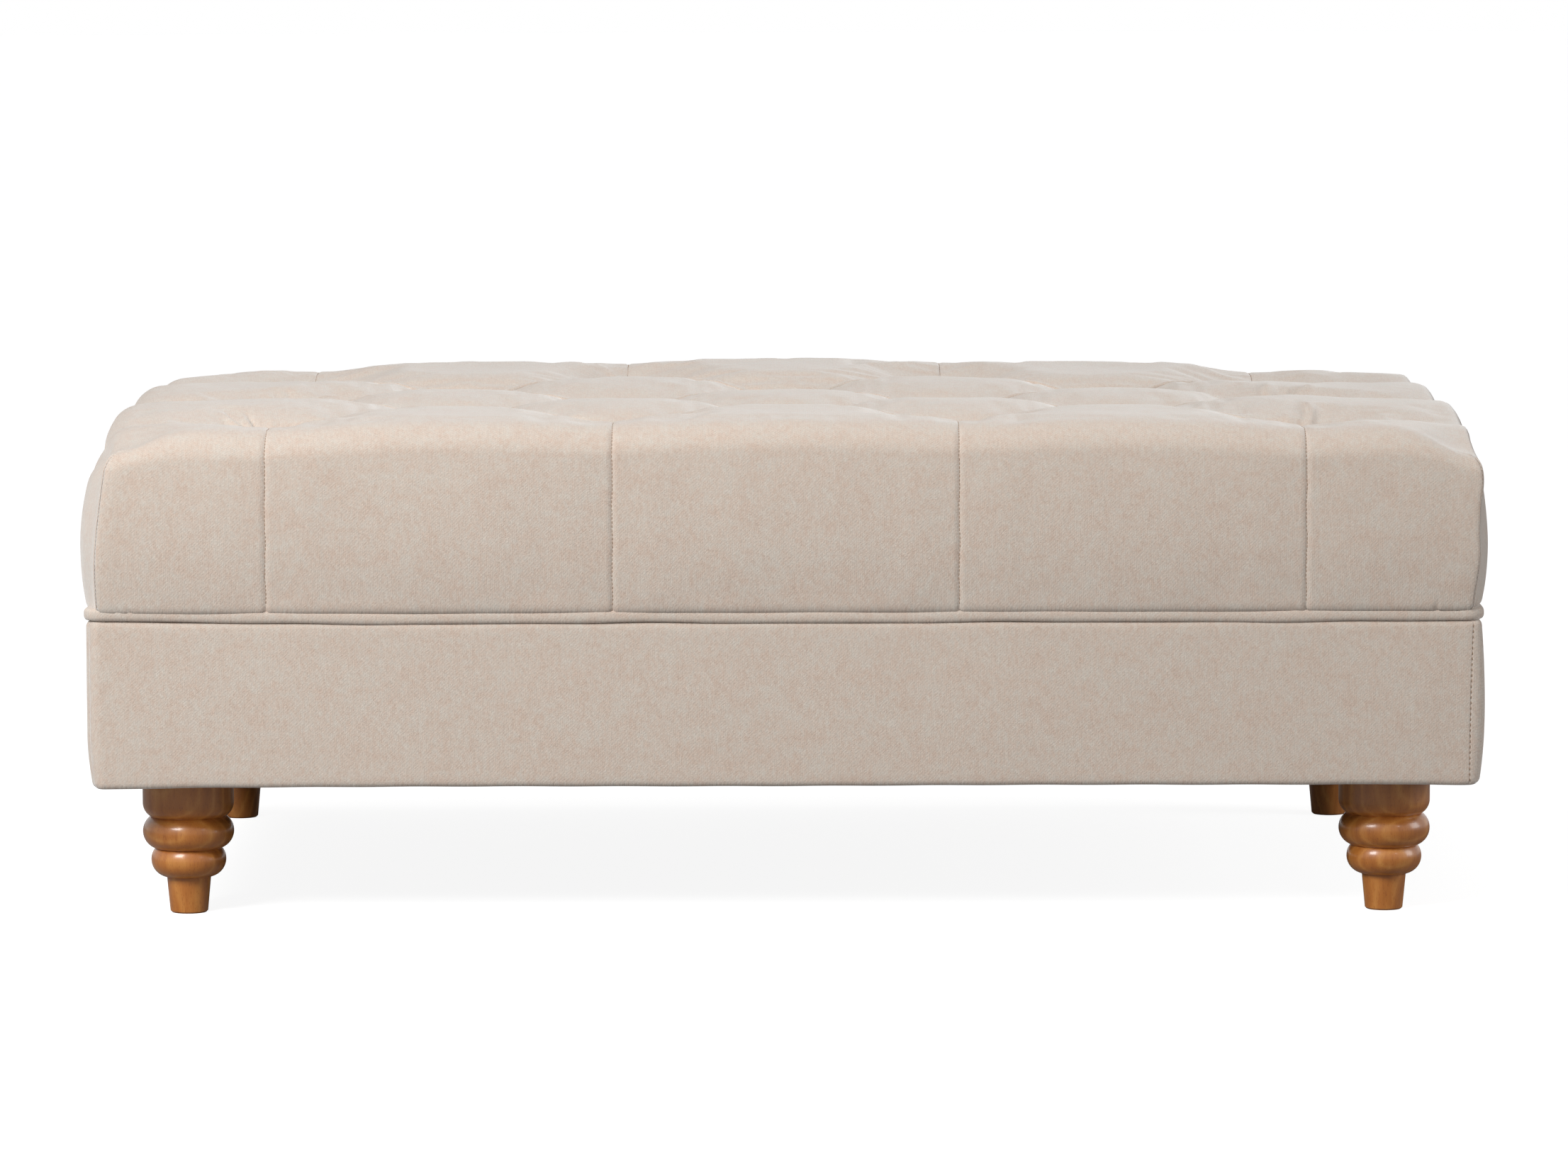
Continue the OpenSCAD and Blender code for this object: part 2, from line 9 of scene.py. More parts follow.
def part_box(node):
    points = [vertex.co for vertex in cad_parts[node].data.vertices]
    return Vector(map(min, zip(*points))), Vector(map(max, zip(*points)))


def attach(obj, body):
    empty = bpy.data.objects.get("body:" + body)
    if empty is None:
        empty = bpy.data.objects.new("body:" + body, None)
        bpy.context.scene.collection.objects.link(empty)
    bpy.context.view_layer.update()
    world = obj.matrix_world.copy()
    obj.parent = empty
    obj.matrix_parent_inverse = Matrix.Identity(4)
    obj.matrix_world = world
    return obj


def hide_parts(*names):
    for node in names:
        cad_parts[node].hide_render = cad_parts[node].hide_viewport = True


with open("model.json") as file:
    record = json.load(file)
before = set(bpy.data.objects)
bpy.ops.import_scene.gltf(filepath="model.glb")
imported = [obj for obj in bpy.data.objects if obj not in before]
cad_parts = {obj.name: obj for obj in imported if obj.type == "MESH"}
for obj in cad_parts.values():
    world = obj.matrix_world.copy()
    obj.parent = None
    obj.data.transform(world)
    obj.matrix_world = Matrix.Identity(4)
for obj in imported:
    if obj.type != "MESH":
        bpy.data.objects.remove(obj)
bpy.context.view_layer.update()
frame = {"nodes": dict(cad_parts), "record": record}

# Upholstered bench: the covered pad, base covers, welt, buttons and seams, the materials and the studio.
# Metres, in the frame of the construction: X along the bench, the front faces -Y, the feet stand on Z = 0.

MM = 0.001


def in_mm(*sizes):
    return [size * MM for size in sizes]


# Sizes taken from the frame

BASE_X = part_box("base_cover_right")[1].x
BASE_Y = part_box("base_cover_rear")[1].y
BASE_LOW, BASE_TOP = (corner.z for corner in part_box("base_cover_front"))
PAD_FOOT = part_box("seat_cover")[0].z
WELT_LOW, WELT_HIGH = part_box("welt")
BOARD_LOW, BOARD_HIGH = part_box("seat_board")
FOOT_X = sum(corner.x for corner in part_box("foot_front_right")) / 2
FOOT_Y = sum(corner.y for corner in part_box("foot_rear_right")) / 2

# Welt round the foot of the pad

WELT_R = 1.34 * (WELT_HIGH.z - WELT_LOW.z) / 2
WELT_LIFT = 0.7 * MM
WELT_Z = (WELT_HIGH.z + WELT_LOW.z) / 2 + WELT_LIFT
WELT_CORNER = 12 * MM

# Button field of the pad

COL_GAP = 294 * MM
ROW_GAP = 125 * MM
SEAM_GAP_Y = 2 * ROW_GAP
FIELD_X = 1.5 * COL_GAP
FIELD_Y = SEAM_GAP_Y
BUTTON_D = 24 * MM
BUTTON_H = 8 * MM
BUTTONS = [(col * COL_GAP, row * SEAM_GAP_Y) for row in (-1, 0, 1) for col in (-1.5, -0.5, 0.5, 1.5)]
BUTTONS += [(col * COL_GAP, row * ROW_GAP) for row in (-1, 1) for col in (-1, 0, 1)]

# Form of the pad's top; of two values, the first is for the left and the second for the right

CREST = BOARD_HIGH.z + 155 * MM
SWELL = 9 * MM
TOP_IN = 7 * MM
RIM_X = BASE_X - TOP_IN
RIM_Y = BASE_Y - TOP_IN
TUFT_DEPTH = 40 * MM
ROLL_W = 45 * MM
LEFT_ROLL_W = 38 * MM
RIGHT_ROLL_W = 26 * MM
FACE_ROLL_DROP = 26 * MM
END_ROLL_DROP = 32 * MM
FRONT_CORNER_DROPS = in_mm(15, 25)
REAR_CORNER_DROPS = in_mm(16, 10)
CORNER_RUN_X = 42 * MM
CORNER_RUN_Y = 60 * MM
CORNER_CRISP = 0.62
NOTCH_ROUND = 0.16
FLAT_REAR = in_mm(2.4, 4.2)
FLAT_ENDS = in_mm(2.6, 5)
FLAT_CORNER = 4.5 * MM
END_FLAT_FROM = 0.8 * FIELD_X
END_FLAT_RUN_IN = 0.2 * FIELD_X
END_FLAT_TO = 0.89 * RIM_X
END_FLAT_RUN_OUT = 0.09 * RIM_X
SEAM_RISE_FADE = 0.35
MARGIN_SOFT = 60 * MM
CROWN_DROP = 7 * MM
INNER_DROP = 5 * MM
PLEAT_DEPTH = 11 * MM
SEAM_RISE = 7 * MM
BUTTON_REACH = 88 * MM
BUTTON_DIP_POWER = 1.5
BUTTON_SEAT = 0.5 * MM

# Form of the pad's sides, at shares of the way down from the rim to the foot: how far the cloth stands out
# past the base, how far the corners are drawn in, and over what run, each with how steeply it changes there.
# The ends are also a little hollow under the rim, and the right one a little short.

WALL_SHARES = [0, 0.12, 0.58, 0.95, 1]
WALL_OUT = [-TOP_IN, 5 * MM, SWELL, 5 * MM, 2 * MM], in_mm(180, 20, 0, -20, -140)
PINCH_SLOPE = in_mm(10, 0, -10, -8, -8)
LEFT_PINCH = in_mm(20, 22, 18, 14.5, 14), PINCH_SLOPE
RIGHT_PINCH = in_mm(5, 9, 12, 13, 12.5), PINCH_SLOPE
PINCH_RUN = in_mm(105, 85, 38, 33, 32), in_mm(0, -160, -30, 0, 0)
PINCH_FADE = 60 * MM
FACE_PINCH = 0.1
FACE_PINCH_RUN = 8 * MM
RIGHT_TRIM = 3 * MM
LEFT_DENT = 8 * MM
RIGHT_DENT = 9.5 * MM
END_DENT_PLACE = 0.12
END_DENT_SHARE = 0.085
SEAM_DIP = 0.8 * MM
SEAM_RUN = 26 * MM

# Mesh of the pad: cells to half a column gap and to a row gap, to the margins and down the side, and how
# many fine cells go to a coarse one

FINE_CELLS = 60
COARSE_STEP = 3
MARGIN_X_CELLS = 60
MARGIN_Y_CELLS = 54
WALL_CELLS = 60

# Places nearer to a line than this are on it

NEAR = 1e-6


def bell(distance, width):
    return np.exp(-((distance / width) ** 2))


def share_of(value):
    return np.clip(value, 0, 1)


def ease(value):
    t = share_of(value)
    return t * t * (3 - 2 * t)


def curve_through(t, shares, values, slopes):
    """Cubic curve through a few values at rising shares, with the slope wanted at each."""
    shares, values, slopes = np.array(shares), np.array(values), np.array(slopes)
    k = np.clip(np.searchsorted(shares, t, side="right") - 1, 0, len(shares) - 2)
    run = shares[k + 1] - shares[k]
    u = (t - shares[k]) / run
    start = values[k] * (1 + 2 * u) * (1 - u) ** 2 + slopes[k] * run * u * (1 - u) ** 2
    end = values[k + 1] * u * u * (3 - 2 * u) + slopes[k + 1] * run * u * u * (u - 1)
    return start + end


# The diamond lattice: rising and falling are whole numbers along the two families of pleats


def rising(x, y):
    return x / COL_GAP + y / SEAM_GAP_Y + 0.5


def falling(x, y):
    return x / COL_GAP - y / SEAM_GAP_Y + 0.5


def off_whole(value):
    return value - np.round(value)


def nearest_button(x, y):
    return np.min([np.hypot(x - bx, y - by) for bx, by in BUTTONS], axis=0)


def in_field(x, y):
    """Whether a place lies within the button field along X, and along Y."""
    return np.abs(x) < FIELD_X + NEAR, np.abs(y) < FIELD_Y + NEAR


def from_rim(x, y):
    return RIM_X - np.abs(x), RIM_Y - np.abs(y)


def pillow_share(x, y):
    """0 along the pleats and seams, 1 in the middle of a pillow."""
    ax, ay = np.abs(x), np.abs(y)
    inner = np.abs(np.sin(np.pi * rising(x, y)) * np.sin(np.pi * falling(x, y)))
    front = np.sin(np.pi * (x / COL_GAP + 0.5)) ** 2
    side = np.sin(np.pi * y / SEAM_GAP_Y) ** 2
    across = np.sin(np.pi / 2 * share_of(2 * (ax - FIELD_X) / COL_GAP))
    down = np.sin(np.pi / 2 * share_of((ay - FIELD_Y) / ROW_GAP))
    outer = (across * down) ** 2
    in_x, in_y = in_field(x, y)
    return np.where(in_x & in_y, inner, np.where(in_x, front, np.where(in_y, side, outer)))


def valley(x, y):
    """How deep the pleats and seams lie under the crests of the pillows: deepest at the buttons."""
    past_field = share_of(2 * (np.abs(y) - FIELD_Y) / ROW_GAP)
    rise = SEAM_RISE * (1 - SEAM_RISE_FADE * share_of(np.abs(x) / FIELD_X)) * past_field
    near = share_of(1 - nearest_button(x, y) / BUTTON_REACH) ** BUTTON_DIP_POWER
    return PLEAT_DEPTH - rise + (TUFT_DEPTH - PLEAT_DEPTH) * near


def roll(inside, width, drop, crisp):
    """Fall of the top towards an edge; the rounding is tighter where the cloth is drawn to a corner."""
    return drop * share_of(1 - inside / (width * (1 - crisp))) ** 3


def top_height(x, y):
    ax, ay = np.abs(x), np.abs(y)
    bow_x, bow_y = (np.cos(np.pi / 2 * share_of(size)) for size in (ax / FIELD_X, ay / FIELD_Y))
    bow = np.sqrt(bow_x) * bow_y ** 2
    fall = CROWN_DROP * (ax / RIM_X) ** 3 + INNER_DROP * bow
    near_corner = bell(np.hypot((RIM_X - ax) / CORNER_RUN_X, (RIM_Y - ay) / CORNER_RUN_Y), 1)
    drop = np.where(y < 0, np.where(x < 0, *FRONT_CORNER_DROPS), np.where(x < 0, *REAR_CORNER_DROPS))
    fall = fall + drop * near_corner
    crisp = CORNER_CRISP * near_corner
    end_roll_w = np.where(x < 0, LEFT_ROLL_W, RIGHT_ROLL_W)
    fall = fall + roll(BASE_X + SWELL - ax, end_roll_w, END_ROLL_DROP, crisp)
    fall = fall + roll(BASE_Y + SWELL - ay, ROLL_W, FACE_ROLL_DROP, crisp)
    margin_x, margin_y = (ax - FIELD_X) / MARGIN_SOFT, (ay - FIELD_Y) / MARGIN_SOFT
    soft = NOTCH_ROUND * np.maximum(share_of(margin_x), share_of(margin_y))
    share = (np.sqrt(pillow_share(x, y) + soft ** 2) - soft) / (np.sqrt(1 + soft ** 2) - soft)
    rear = np.where(x < 0, *FLAT_REAR) * ease((ax - COL_GAP / 4) / (COL_GAP / 2))
    corner = FLAT_CORNER * ease(margin_x) * ease(margin_y)
    flat = np.maximum(rear * ease(y / FIELD_Y), corner * (x < 0)) * share ** 2
    near_end = ease((ax - END_FLAT_FROM) / END_FLAT_RUN_IN)
    near_end = near_end * (1 - ease((ax - END_FLAT_TO) / END_FLAT_RUN_OUT))
    flat = flat + np.where(x < 0, *FLAT_ENDS) * near_end * ease(y / FIELD_Y)
    return CREST - fall - flat - valley(x, y) * (1 - share)


def plan_point(x, y, down):
    """Moves a place on the grid out to its side, at a share of the way down, and draws the corners in."""
    from_x, from_y = from_rim(x, y)
    curves = WALL_OUT, LEFT_PINCH, RIGHT_PINCH, PINCH_RUN
    out, left, right, run = [curve_through(down, WALL_SHARES, *curve) for curve in curves]
    pinch = np.where(x > 0, right, left)
    pull_x = pinch * bell(from_y, run) * bell(from_x, PINCH_FADE)
    pull_y = FACE_PINCH * pinch * bell(from_x, FACE_PINCH_RUN) * bell(from_y, PINCH_FADE)
    dent = np.where(x > 0, RIGHT_DENT, LEFT_DENT) * ease(from_y / PINCH_FADE)
    dent = dent * bell(down - END_DENT_PLACE, END_DENT_SHARE)
    trim = RIGHT_TRIM * (x > 0) * ease(4 * down - 0.4)
    push_x = (out + TOP_IN - dent - trim) * ease(1 - from_x / (RIM_X - FIELD_X))
    push_y = (out + TOP_IN) * ease(1 - from_y / (RIM_Y - FIELD_Y))
    return x + np.sign(x) * (push_x - pull_x), y + np.sign(y) * (push_y - pull_y)


def axis_lines(field, rim, field_cells, margin_cells):
    margin = np.linspace(field, rim, margin_cells + 1)[1:]
    return np.concatenate([-margin[::-1], np.linspace(-field, field, field_cells + 1), margin])


def band_faces(rings):
    """Triangles between each ring of points and the next one down."""
    faces = []
    for upper, lower in zip(rings[:-1], rings[1:]):
        next_upper, next_lower = np.roll(upper, -1), np.roll(lower, -1)
        faces.append(np.column_stack([upper, lower, next_lower]))
        faces.append(np.column_stack([upper, next_lower, next_upper]))
    return faces


class PadGrid:
    """Places of the pad's top and sides, at one cell size: step 1 is fine, step 3 three times as coarse."""

    def __init__(self, step):
        cells = FINE_CELLS // step
        self.x_lines = axis_lines(FIELD_X, RIM_X, 6 * cells, MARGIN_X_CELLS // step)
        self.y_lines = axis_lines(FIELD_Y, RIM_Y, 4 * cells, MARGIN_Y_CELLS // step)
        self.x, self.y = np.meshgrid(self.x_lines, self.y_lines)
        self.off_x, self.off_y = seam_offsets(self.x, self.y)
        last_i, last_j = len(self.x_lines) - 1, len(self.y_lines) - 1
        along, back = np.arange(last_i), np.arange(last_j)
        self.ring_i = np.concatenate([along, 0 * back + last_i, last_i - along, 0 * back])
        self.ring_j = np.concatenate([0 * along, back, 0 * along + last_j, last_j - back])
        self.ring_x, self.ring_y = self.x_lines[self.ring_i], self.y_lines[self.ring_j]
        self.on_face = np.abs(self.ring_y) > RIM_Y - NEAR
        self.on_end = np.abs(self.ring_x) > RIM_X - NEAR
        ring = self.ring_j, self.ring_i
        self.ring_off = np.where(self.on_face, self.off_x[ring], self.off_y[ring])
        self.rows = WALL_CELLS // step
        self.down = np.arange(1, self.rows + 1)[:, None] / self.rows

    def top(self):
        px, py = plan_point(self.x, self.y, np.zeros(1))
        return np.stack([px, py, top_height(self.x, self.y)], axis=-1)

    def wall(self):
        """Rows of points from just under the rim down to the foot."""
        x, y = self.ring_x, self.ring_y
        from_seam_x = np.abs(off_whole(x / COL_GAP + 0.5)) * COL_GAP
        from_seam_y = np.abs(off_whole(y / SEAM_GAP_Y)) * SEAM_GAP_Y
        from_seam = np.where(self.on_face, from_seam_x, from_seam_y)
        dip = SEAM_DIP * ease(4 * self.down) * bell(from_seam, SEAM_RUN)
        px, py = plan_point(x, y, self.down)
        px = px - np.where(self.on_face, 0, np.sign(x) * dip)
        py = py - np.where(self.on_face, np.sign(y) * dip, 0)
        rim = top_height(x, y)
        pz = rim + self.down * (PAD_FOOT - rim)
        return np.stack([px, py, pz + 0 * px], axis=-1)

    def split(self, points):
        """The points of the top and of the sides, out of one list of both."""
        count, ring = self.x.size, len(self.ring_i)
        sides = points[count:count + self.rows * ring]
        return points[:count].reshape(*self.x.shape, 3), sides.reshape(self.rows, ring, 3)

    def faces(self):
        """Triangles of the top, split along the pleats, and of the sides."""
        index = np.arange(self.x.size).reshape(self.x.shape)
        a, b, c, d = index[:-1, :-1], index[:-1, 1:], index[1:, 1:], index[1:, :-1]
        mid_x = (self.x[:-1, :-1] + self.x[1:, 1:]) / 2
        mid_y = (self.y[:-1, :-1] + self.y[1:, 1:]) / 2
        in_x, in_y = in_field(mid_x, mid_y)
        near_falling = np.abs(off_whole(falling(mid_x, mid_y))) < np.abs(off_whole(rising(mid_x, mid_y)))
        up = np.where(in_x & in_y, near_falling, mid_x * mid_y > 0)
        first = np.stack([a, b, np.where(up, c, d)], axis=-1)
        second = np.stack([np.where(up, a, b), c, d], axis=-1)
        ring = np.arange(len(self.ring_i))
        rings = [index[self.ring_j, self.ring_i]]
        rings += [index.size + k * ring.size + ring for k in range(self.rows)]
        return np.concatenate([first.reshape(-1, 3), second.reshape(-1, 3), *band_faces(rings)])


def seam_offsets(x, y):
    """Signed distance along a face, and along an end, to the nearest seam; the corners count as seams."""
    offsets = []
    for value, seams in ((x, (COL_GAP / 2, FIELD_X, RIM_X)), (y, (0, FIELD_Y, RIM_Y))):
        off = value[..., None] - np.array(sorted({side * seam for seam in seams for side in (-1, 1)}))
        nearest = np.argmin(np.abs(off), axis=-1)[..., None]
        offsets.append(np.take_along_axis(off, nearest, -1)[..., 0])
    return offsets


# Mesh helpers


def add_object(name, data):
    thing = bpy.data.objects.new(name, data)
    bpy.context.scene.collection.objects.link(thing)
    return thing


def mesh_object(name, points, faces):
    """A smooth mesh of points and faces, as an object of the scene."""
    mesh = bpy.data.meshes.new(name)
    faces = faces.tolist() if isinstance(faces, np.ndarray) else faces
    mesh.from_pydata(np.asarray(points).reshape(-1, 3).tolist(), [], faces)
    mesh.shade_smooth()
    return add_object(name, mesh)


def vectors_of(items, key):
    """The vector under a key of every item of a mesh, one to a row."""
    flat = np.zeros(len(items) * 3, np.float32)
    items.foreach_get(key, flat)
    return flat.reshape(-1, 3).astype(float)


def length_along(line):
    """Distance of each point of a line from its start."""
    return np.concatenate([[0], np.cumsum(np.linalg.norm(np.diff(line, axis=0), axis=1))])


def around(centre, radius, angle):
    """The plan point at an angle round a centre."""
    return np.array(centre) + radius * np.array([math.cos(angle), math.sin(angle)])


# Materials


class Value:
    """A value in a shader, so that sums of values are written as plain arithmetic."""

    def __init__(self, nodes, socket):
        self.nodes = nodes
        self.socket = socket

    def __add__(self, other):
        return self.nodes.math("ADD", self, other)

    def __sub__(self, other):
        return self.nodes.math("SUBTRACT", self, other)

    def __mul__(self, other):
        return self.nodes.math("MULTIPLY", self, other)


class Nodes:
    """Short ways to add and join the shader nodes of a material or world."""

    def __init__(self, owner):
        owner.use_nodes = True
        self.owner = owner
        self.tree = owner.node_tree

    def feed(self, sockets, values):
        """Joins or sets sockets by name or number; a colour is given as three numbers."""
        for key, value in values.items():
            if isinstance(value, Value):
                self.tree.links.new(value.socket, sockets[key])
            else:
                sockets[key].default_value = (*value, 1) if isinstance(value, tuple) else value

    def node(self, kind, values=None, output=0, **settings):
        """Adds a node, feeds its sockets and gives one of its outputs."""
        node = self.tree.nodes.new(kind)
        for key, setting in settings.items():
            setattr(node, key, setting)
        self.feed(node.inputs, values or {})
        return Value(self, node.outputs[output])

    def math(self, operation, *values):
        return self.node("ShaderNodeMath", dict(enumerate(values)), operation=operation)

    def noise(self, vector, scale, detail=2.0, roughness=0.5):
        values = {"Vector": vector, "Scale": scale, "Detail": detail, "Roughness": roughness}
        return self.node("ShaderNodeTexNoise", values, "Fac")

    def combine(self, *values):
        return self.node("ShaderNodeCombineXYZ", dict(enumerate(values)))

    def stretched(self, place, scales):
        """A place with each of its three values times its own scale."""
        return self.combine(*[value * scale for value, scale in zip(place, scales)])

    def parts(self, vector):
        outputs = self.node("ShaderNodeSeparateXYZ", {0: vector}).socket.node.outputs
        return [Value(self, socket) for socket in outputs]

    def object_place(self):
        return self.node("ShaderNodeTexCoord", output="Object")

    def ramp(self, fac, *stops):
        colour = self.node("ShaderNodeValToRGB", {"Fac": fac}, "Color")
        elements = colour.socket.node.color_ramp.elements
        while len(elements) < len(stops):
            elements.new(0.5)
        for element, (place, shade) in zip(elements, stops):
            element.position = place
            element.color = (*shade, 1)
        return colour

    def tinted(self, first, second):
        """One colour times another."""
        values = {"Factor": 1.0, "A": first, "B": second}
        return self.node("ShaderNodeMix", values, "Result", data_type="RGBA", blend_type="MULTIPLY")

    def bump(self, height, strength, distance):
        return self.node("ShaderNodeBump", {"Strength": strength, "Distance": distance, "Height": height})

    def finish(self, values, node="Principled BSDF"):
        """Feeds the last node and gives the material or world."""
        self.feed(self.tree.nodes[node].inputs, values)
        return self.owner


def new_material(name):
    return Nodes(bpy.data.materials.new(name))


def linear(r, g, b):
    """A screen colour, 0 to 255, as the linear colour that the shaders take."""
    def channel(value):
        c = value / 255
        return c / 12.92 if c <= 0.04045 else ((c + 0.055) / 1.055) ** 2.4
    return (channel(r), channel(g), channel(b))


# Cloth: a twill that rises to the right, over upright ribs half as far apart, in three close colours

TWILL_ACROSS = 3.18 * MM
TWILL_ALONG = 3.06 * MM
CROSS_TWILL_ALONG = 2.01 * MM
RIB_WANDER = 1.4
GRAIN_STRETCH = 2.4
CLOTH_PALE, CLOTH_ROSY, CLOTH_GREY = linear(199, 184, 171), linear(200, 180, 165), linear(196, 186, 175)
SIDE_FACING = 0.72


def cloth_material():
    """Short-piled chenille twill: diagonal and upright ribs, uneven threads, soft rosy and grey mottling."""
    n = new_material("cream_chenille")
    x, y, z = n.parts(n.object_place())
    facing = n.parts(n.node("ShaderNodeNewGeometry", output="Normal"))[0]
    on_side = n.math("GREATER_THAN", n.math("ABSOLUTE", facing), SIDE_FACING)
    across = x + (y - x) * on_side
    along = x + y + z - across

    def speckle(scale_across, scale_along, seed, detail=2):
        return n.noise(n.combine(across * scale_across, along * scale_along, seed), 1.0, detail) - 0.5

    def turns(count_across, count_along):
        return across * count_across - along * count_along

    def ribs(count_across, count_along):
        phase = turns(count_across, count_along) + wander * RIB_WANDER
        return n.math("SINE", phase * (2 * math.pi))

    wander = speckle(70, 60, 0.0)
    twill = ribs(1 / TWILL_ACROSS, 1 / TWILL_ALONG)
    warp = ribs(2 / TWILL_ACROSS, 0)
    cross_twill = ribs(1 / TWILL_ACROSS, 1 / CROSS_TWILL_ALONG)
    over = turns(1 / TWILL_ACROSS, 1 / TWILL_ALONG) * GRAIN_STRETCH
    grain = n.noise(n.combine(over, turns(1 / TWILL_ACROSS, -1 / TWILL_ALONG), 7.0), 1.0, 1) - 0.5
    streaks = speckle(560, 60, 6.0)
    threads = speckle(1600, 1150, 1.0)
    slubs = speckle(330, 210, 2.0)
    blots = speckle(95, 75, 3.0)
    patches = speckle(26, 30, 4.0, 3)
    drifts = speckle(7, 9, 5.0)
    tone = patches * 0.3 + blots * 0.45 + slubs * 0.6 + threads * 0.3 + 0.5
    shade = twill * 0.034 + 1.0 + warp * 0.02 + cross_twill * 0.014 + grain * 0.42 + streaks * 0.14
    shade = shade + threads * 0.36 + slubs * 0.18 + blots * 0.11 + patches * 0.06 + drifts * 0.03
    height = twill * 0.7 + warp + grain * 5.0 + threads * 3.0
    colour = n.ramp(tone, (0.34, CLOTH_ROSY), (0.5, CLOTH_PALE), (0.66, CLOTH_GREY))
    return n.finish({
        "Base Color": n.tinted(colour, n.combine(shade, shade, shade)),
        "Normal": n.bump(height, 0.3, 0.1 * MM),
        "Roughness": 0.92,
        "Specular IOR Level": 0.18,
        "Sheen Weight": 0.55,
        "Sheen Roughness": 0.55,
        "Sheen Tint": (0.96, 0.99, 1.0),
    })


# Wood: each foot's pith lies beside it, a little further out and nearer to the middle, and leans

PITH_OUT = 6 * MM
PITH_INWARD = 28 * MM
PITH_LEAN = 0.3
RING_GAP = 8 * MM
RING_WANDER = 1.6
FLECK_SCALES = 1300, 1300, 240
STREAK_SCALES = 160, 160, 22
PLANK_SCALES = 6, 140, 140
STAIN_DARK, STAIN_MIDDLE, STAIN_LIGHT = linear(158, 92, 35), linear(180, 111, 46), linear(200, 136, 66)


def turned_wood_material():
    """Beech under honey stain: year rings round a pith beside each foot, fine flecks, satin lacquer."""
    n = new_material("honey_beech")
    place = n.parts(n.object_place())
    pith_x = n.math("ABSOLUTE", place[0]) - (FOOT_X + PITH_OUT) + place[2] * PITH_LEAN
    pith_y = n.math("ABSOLUTE", place[1]) - (FOOT_Y - PITH_INWARD)
    from_pith = n.math("SQRT", pith_x * pith_x + pith_y * pith_y)
    rings = from_pith * (1 / RING_GAP) + n.noise(n.stretched(place, (14, 14, 9)), 1.0, 3) * RING_WANDER
    ring_wave = n.math("SINE", rings * (2 * math.pi)) * 0.5 + 0.5
    ring_line = n.math("POWER", ring_wave, 8.0)
    flecks = n.noise(n.stretched(place, FLECK_SCALES), 1.0, 2, 0.6)
    streaks = n.noise(n.stretched(place, STREAK_SCALES), 1.0, 4, 0.6)
    tone = ring_wave * 0.12 + streaks * 0.7 + ring_line * 0.14
    stain = n.ramp(tone, (0.2, STAIN_DARK), (0.45, STAIN_MIDDLE), (0.75, STAIN_LIGHT))
    dark_fleck = n.ramp(flecks, (0.32, (0.8, 0.72, 0.64)), (0.42, (1, 1, 1)))
    return n.finish({
        "Base Color": n.tinted(stain, dark_fleck),
        "Roughness": streaks * 0.12 + 0.3,
        "Normal": n.bump(flecks, 0.15, 0.05 * MM),
        "Coat Weight": 0.4,
        "Coat Roughness": 0.16,
    })


def plank_material(name, dark, light):
    """Planed softwood or ply with its grain along X."""
    n = new_material(name)
    grain = n.noise(n.stretched(n.parts(n.object_place()), PLANK_SCALES), 1.0, 5, 0.6)
    colour = n.ramp(grain, (0.3, linear(*dark)), (0.7, linear(*light)))
    return n.finish({"Base Color": colour, "Normal": n.bump(grain, 0.2, 0.2 * MM), "Roughness": 0.7})


def speckled_material(name, dark, light, scale, roughness, metallic=0.0, bump=0.2):
    """A fine-grained finish: zinc plate, foam, wadding, lining or twine."""
    n = new_material(name)
    grain = n.noise(n.object_place(), scale, 4, 0.6)
    colour = n.ramp(grain, (0.35, linear(*dark)), (0.65, linear(*light)))
    normal = n.bump(grain, bump, 0.3 * MM)
    return n.finish({"Base Color": colour, "Normal": normal, "Roughness": roughness, "Metallic": metallic})


SLOT_MATERIALS = {
    "cover_cloth": cloth_material(),
    "turned_wood": turned_wood_material(),
    "frame_wood": plank_material("frame_pine", (196, 160, 112), (222, 190, 146)),
    "plywood": plank_material("birch_ply", (190, 158, 116), (215, 186, 146)),
    "foam": speckled_material("open_cell_foam", (214, 202, 150), (238, 228, 180), 500, 0.95),
    "wadding": speckled_material("fibre_wadding", (226, 226, 224), (246, 246, 244), 120, 0.95, bump=0.6),
    "lining": speckled_material("black_lining", (24, 24, 26), (44, 44, 47), 700, 0.85, bump=0.5),
    "twine": speckled_material("waxed_twine", (206, 194, 170), (232, 222, 200), 1200, 0.7),
    "steel": speckled_material("zinc_plate", (178, 178, 174), (208, 208, 206), 300, 0.35, 1.0, 0.05),
}
SEAM_THREAD = speckled_material("seam_thread", (130, 104, 83), (158, 131, 108), 900, 0.8)


def finish_frame_nodes():
    """Every node of the construction gets its slot's material."""
    for part in frame["record"]["subparts"]:
        mesh = frame["nodes"][part["node"]].data
        mesh.materials.clear()
        mesh.materials.append(SLOT_MATERIALS[part["material_slot"]])


def dress(piece, slot, *replaced, material=None):
    """Gives a piece its material, its slot's unless one is given, sets it on the bench and hides the nodes
    that it stands for.
    """
    piece.data.materials.append(material or SLOT_MATERIALS[slot])
    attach(piece, "root")
    if replaced:
        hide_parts(*replaced)
    return piece


# Pad: the cloth's own folds, from a pressed cloth held at its buttons, pleats and seams

CLOTH_FRAMES = 20
CLOTH_SETTINGS = {
    "quality": 5,
    "mass": 0.3,
    "tension_stiffness": 20,
    "compression_stiffness": 20,
    "bending_stiffness": 0.5,
    "use_pressure": True,
    "uniform_pressure_force": 4.0,
    "shrink_min": -0.02,
    "vertex_group_mass": "held",
}
CLOTH_CAP = 7 * MM
TOP_SETTLING = 0.9
SIDE_SETTLING = 0.05
SETTLING_EDGE = 60 * MM
EVEN_PASSES = 32
EVEN_SHARE = 0.97


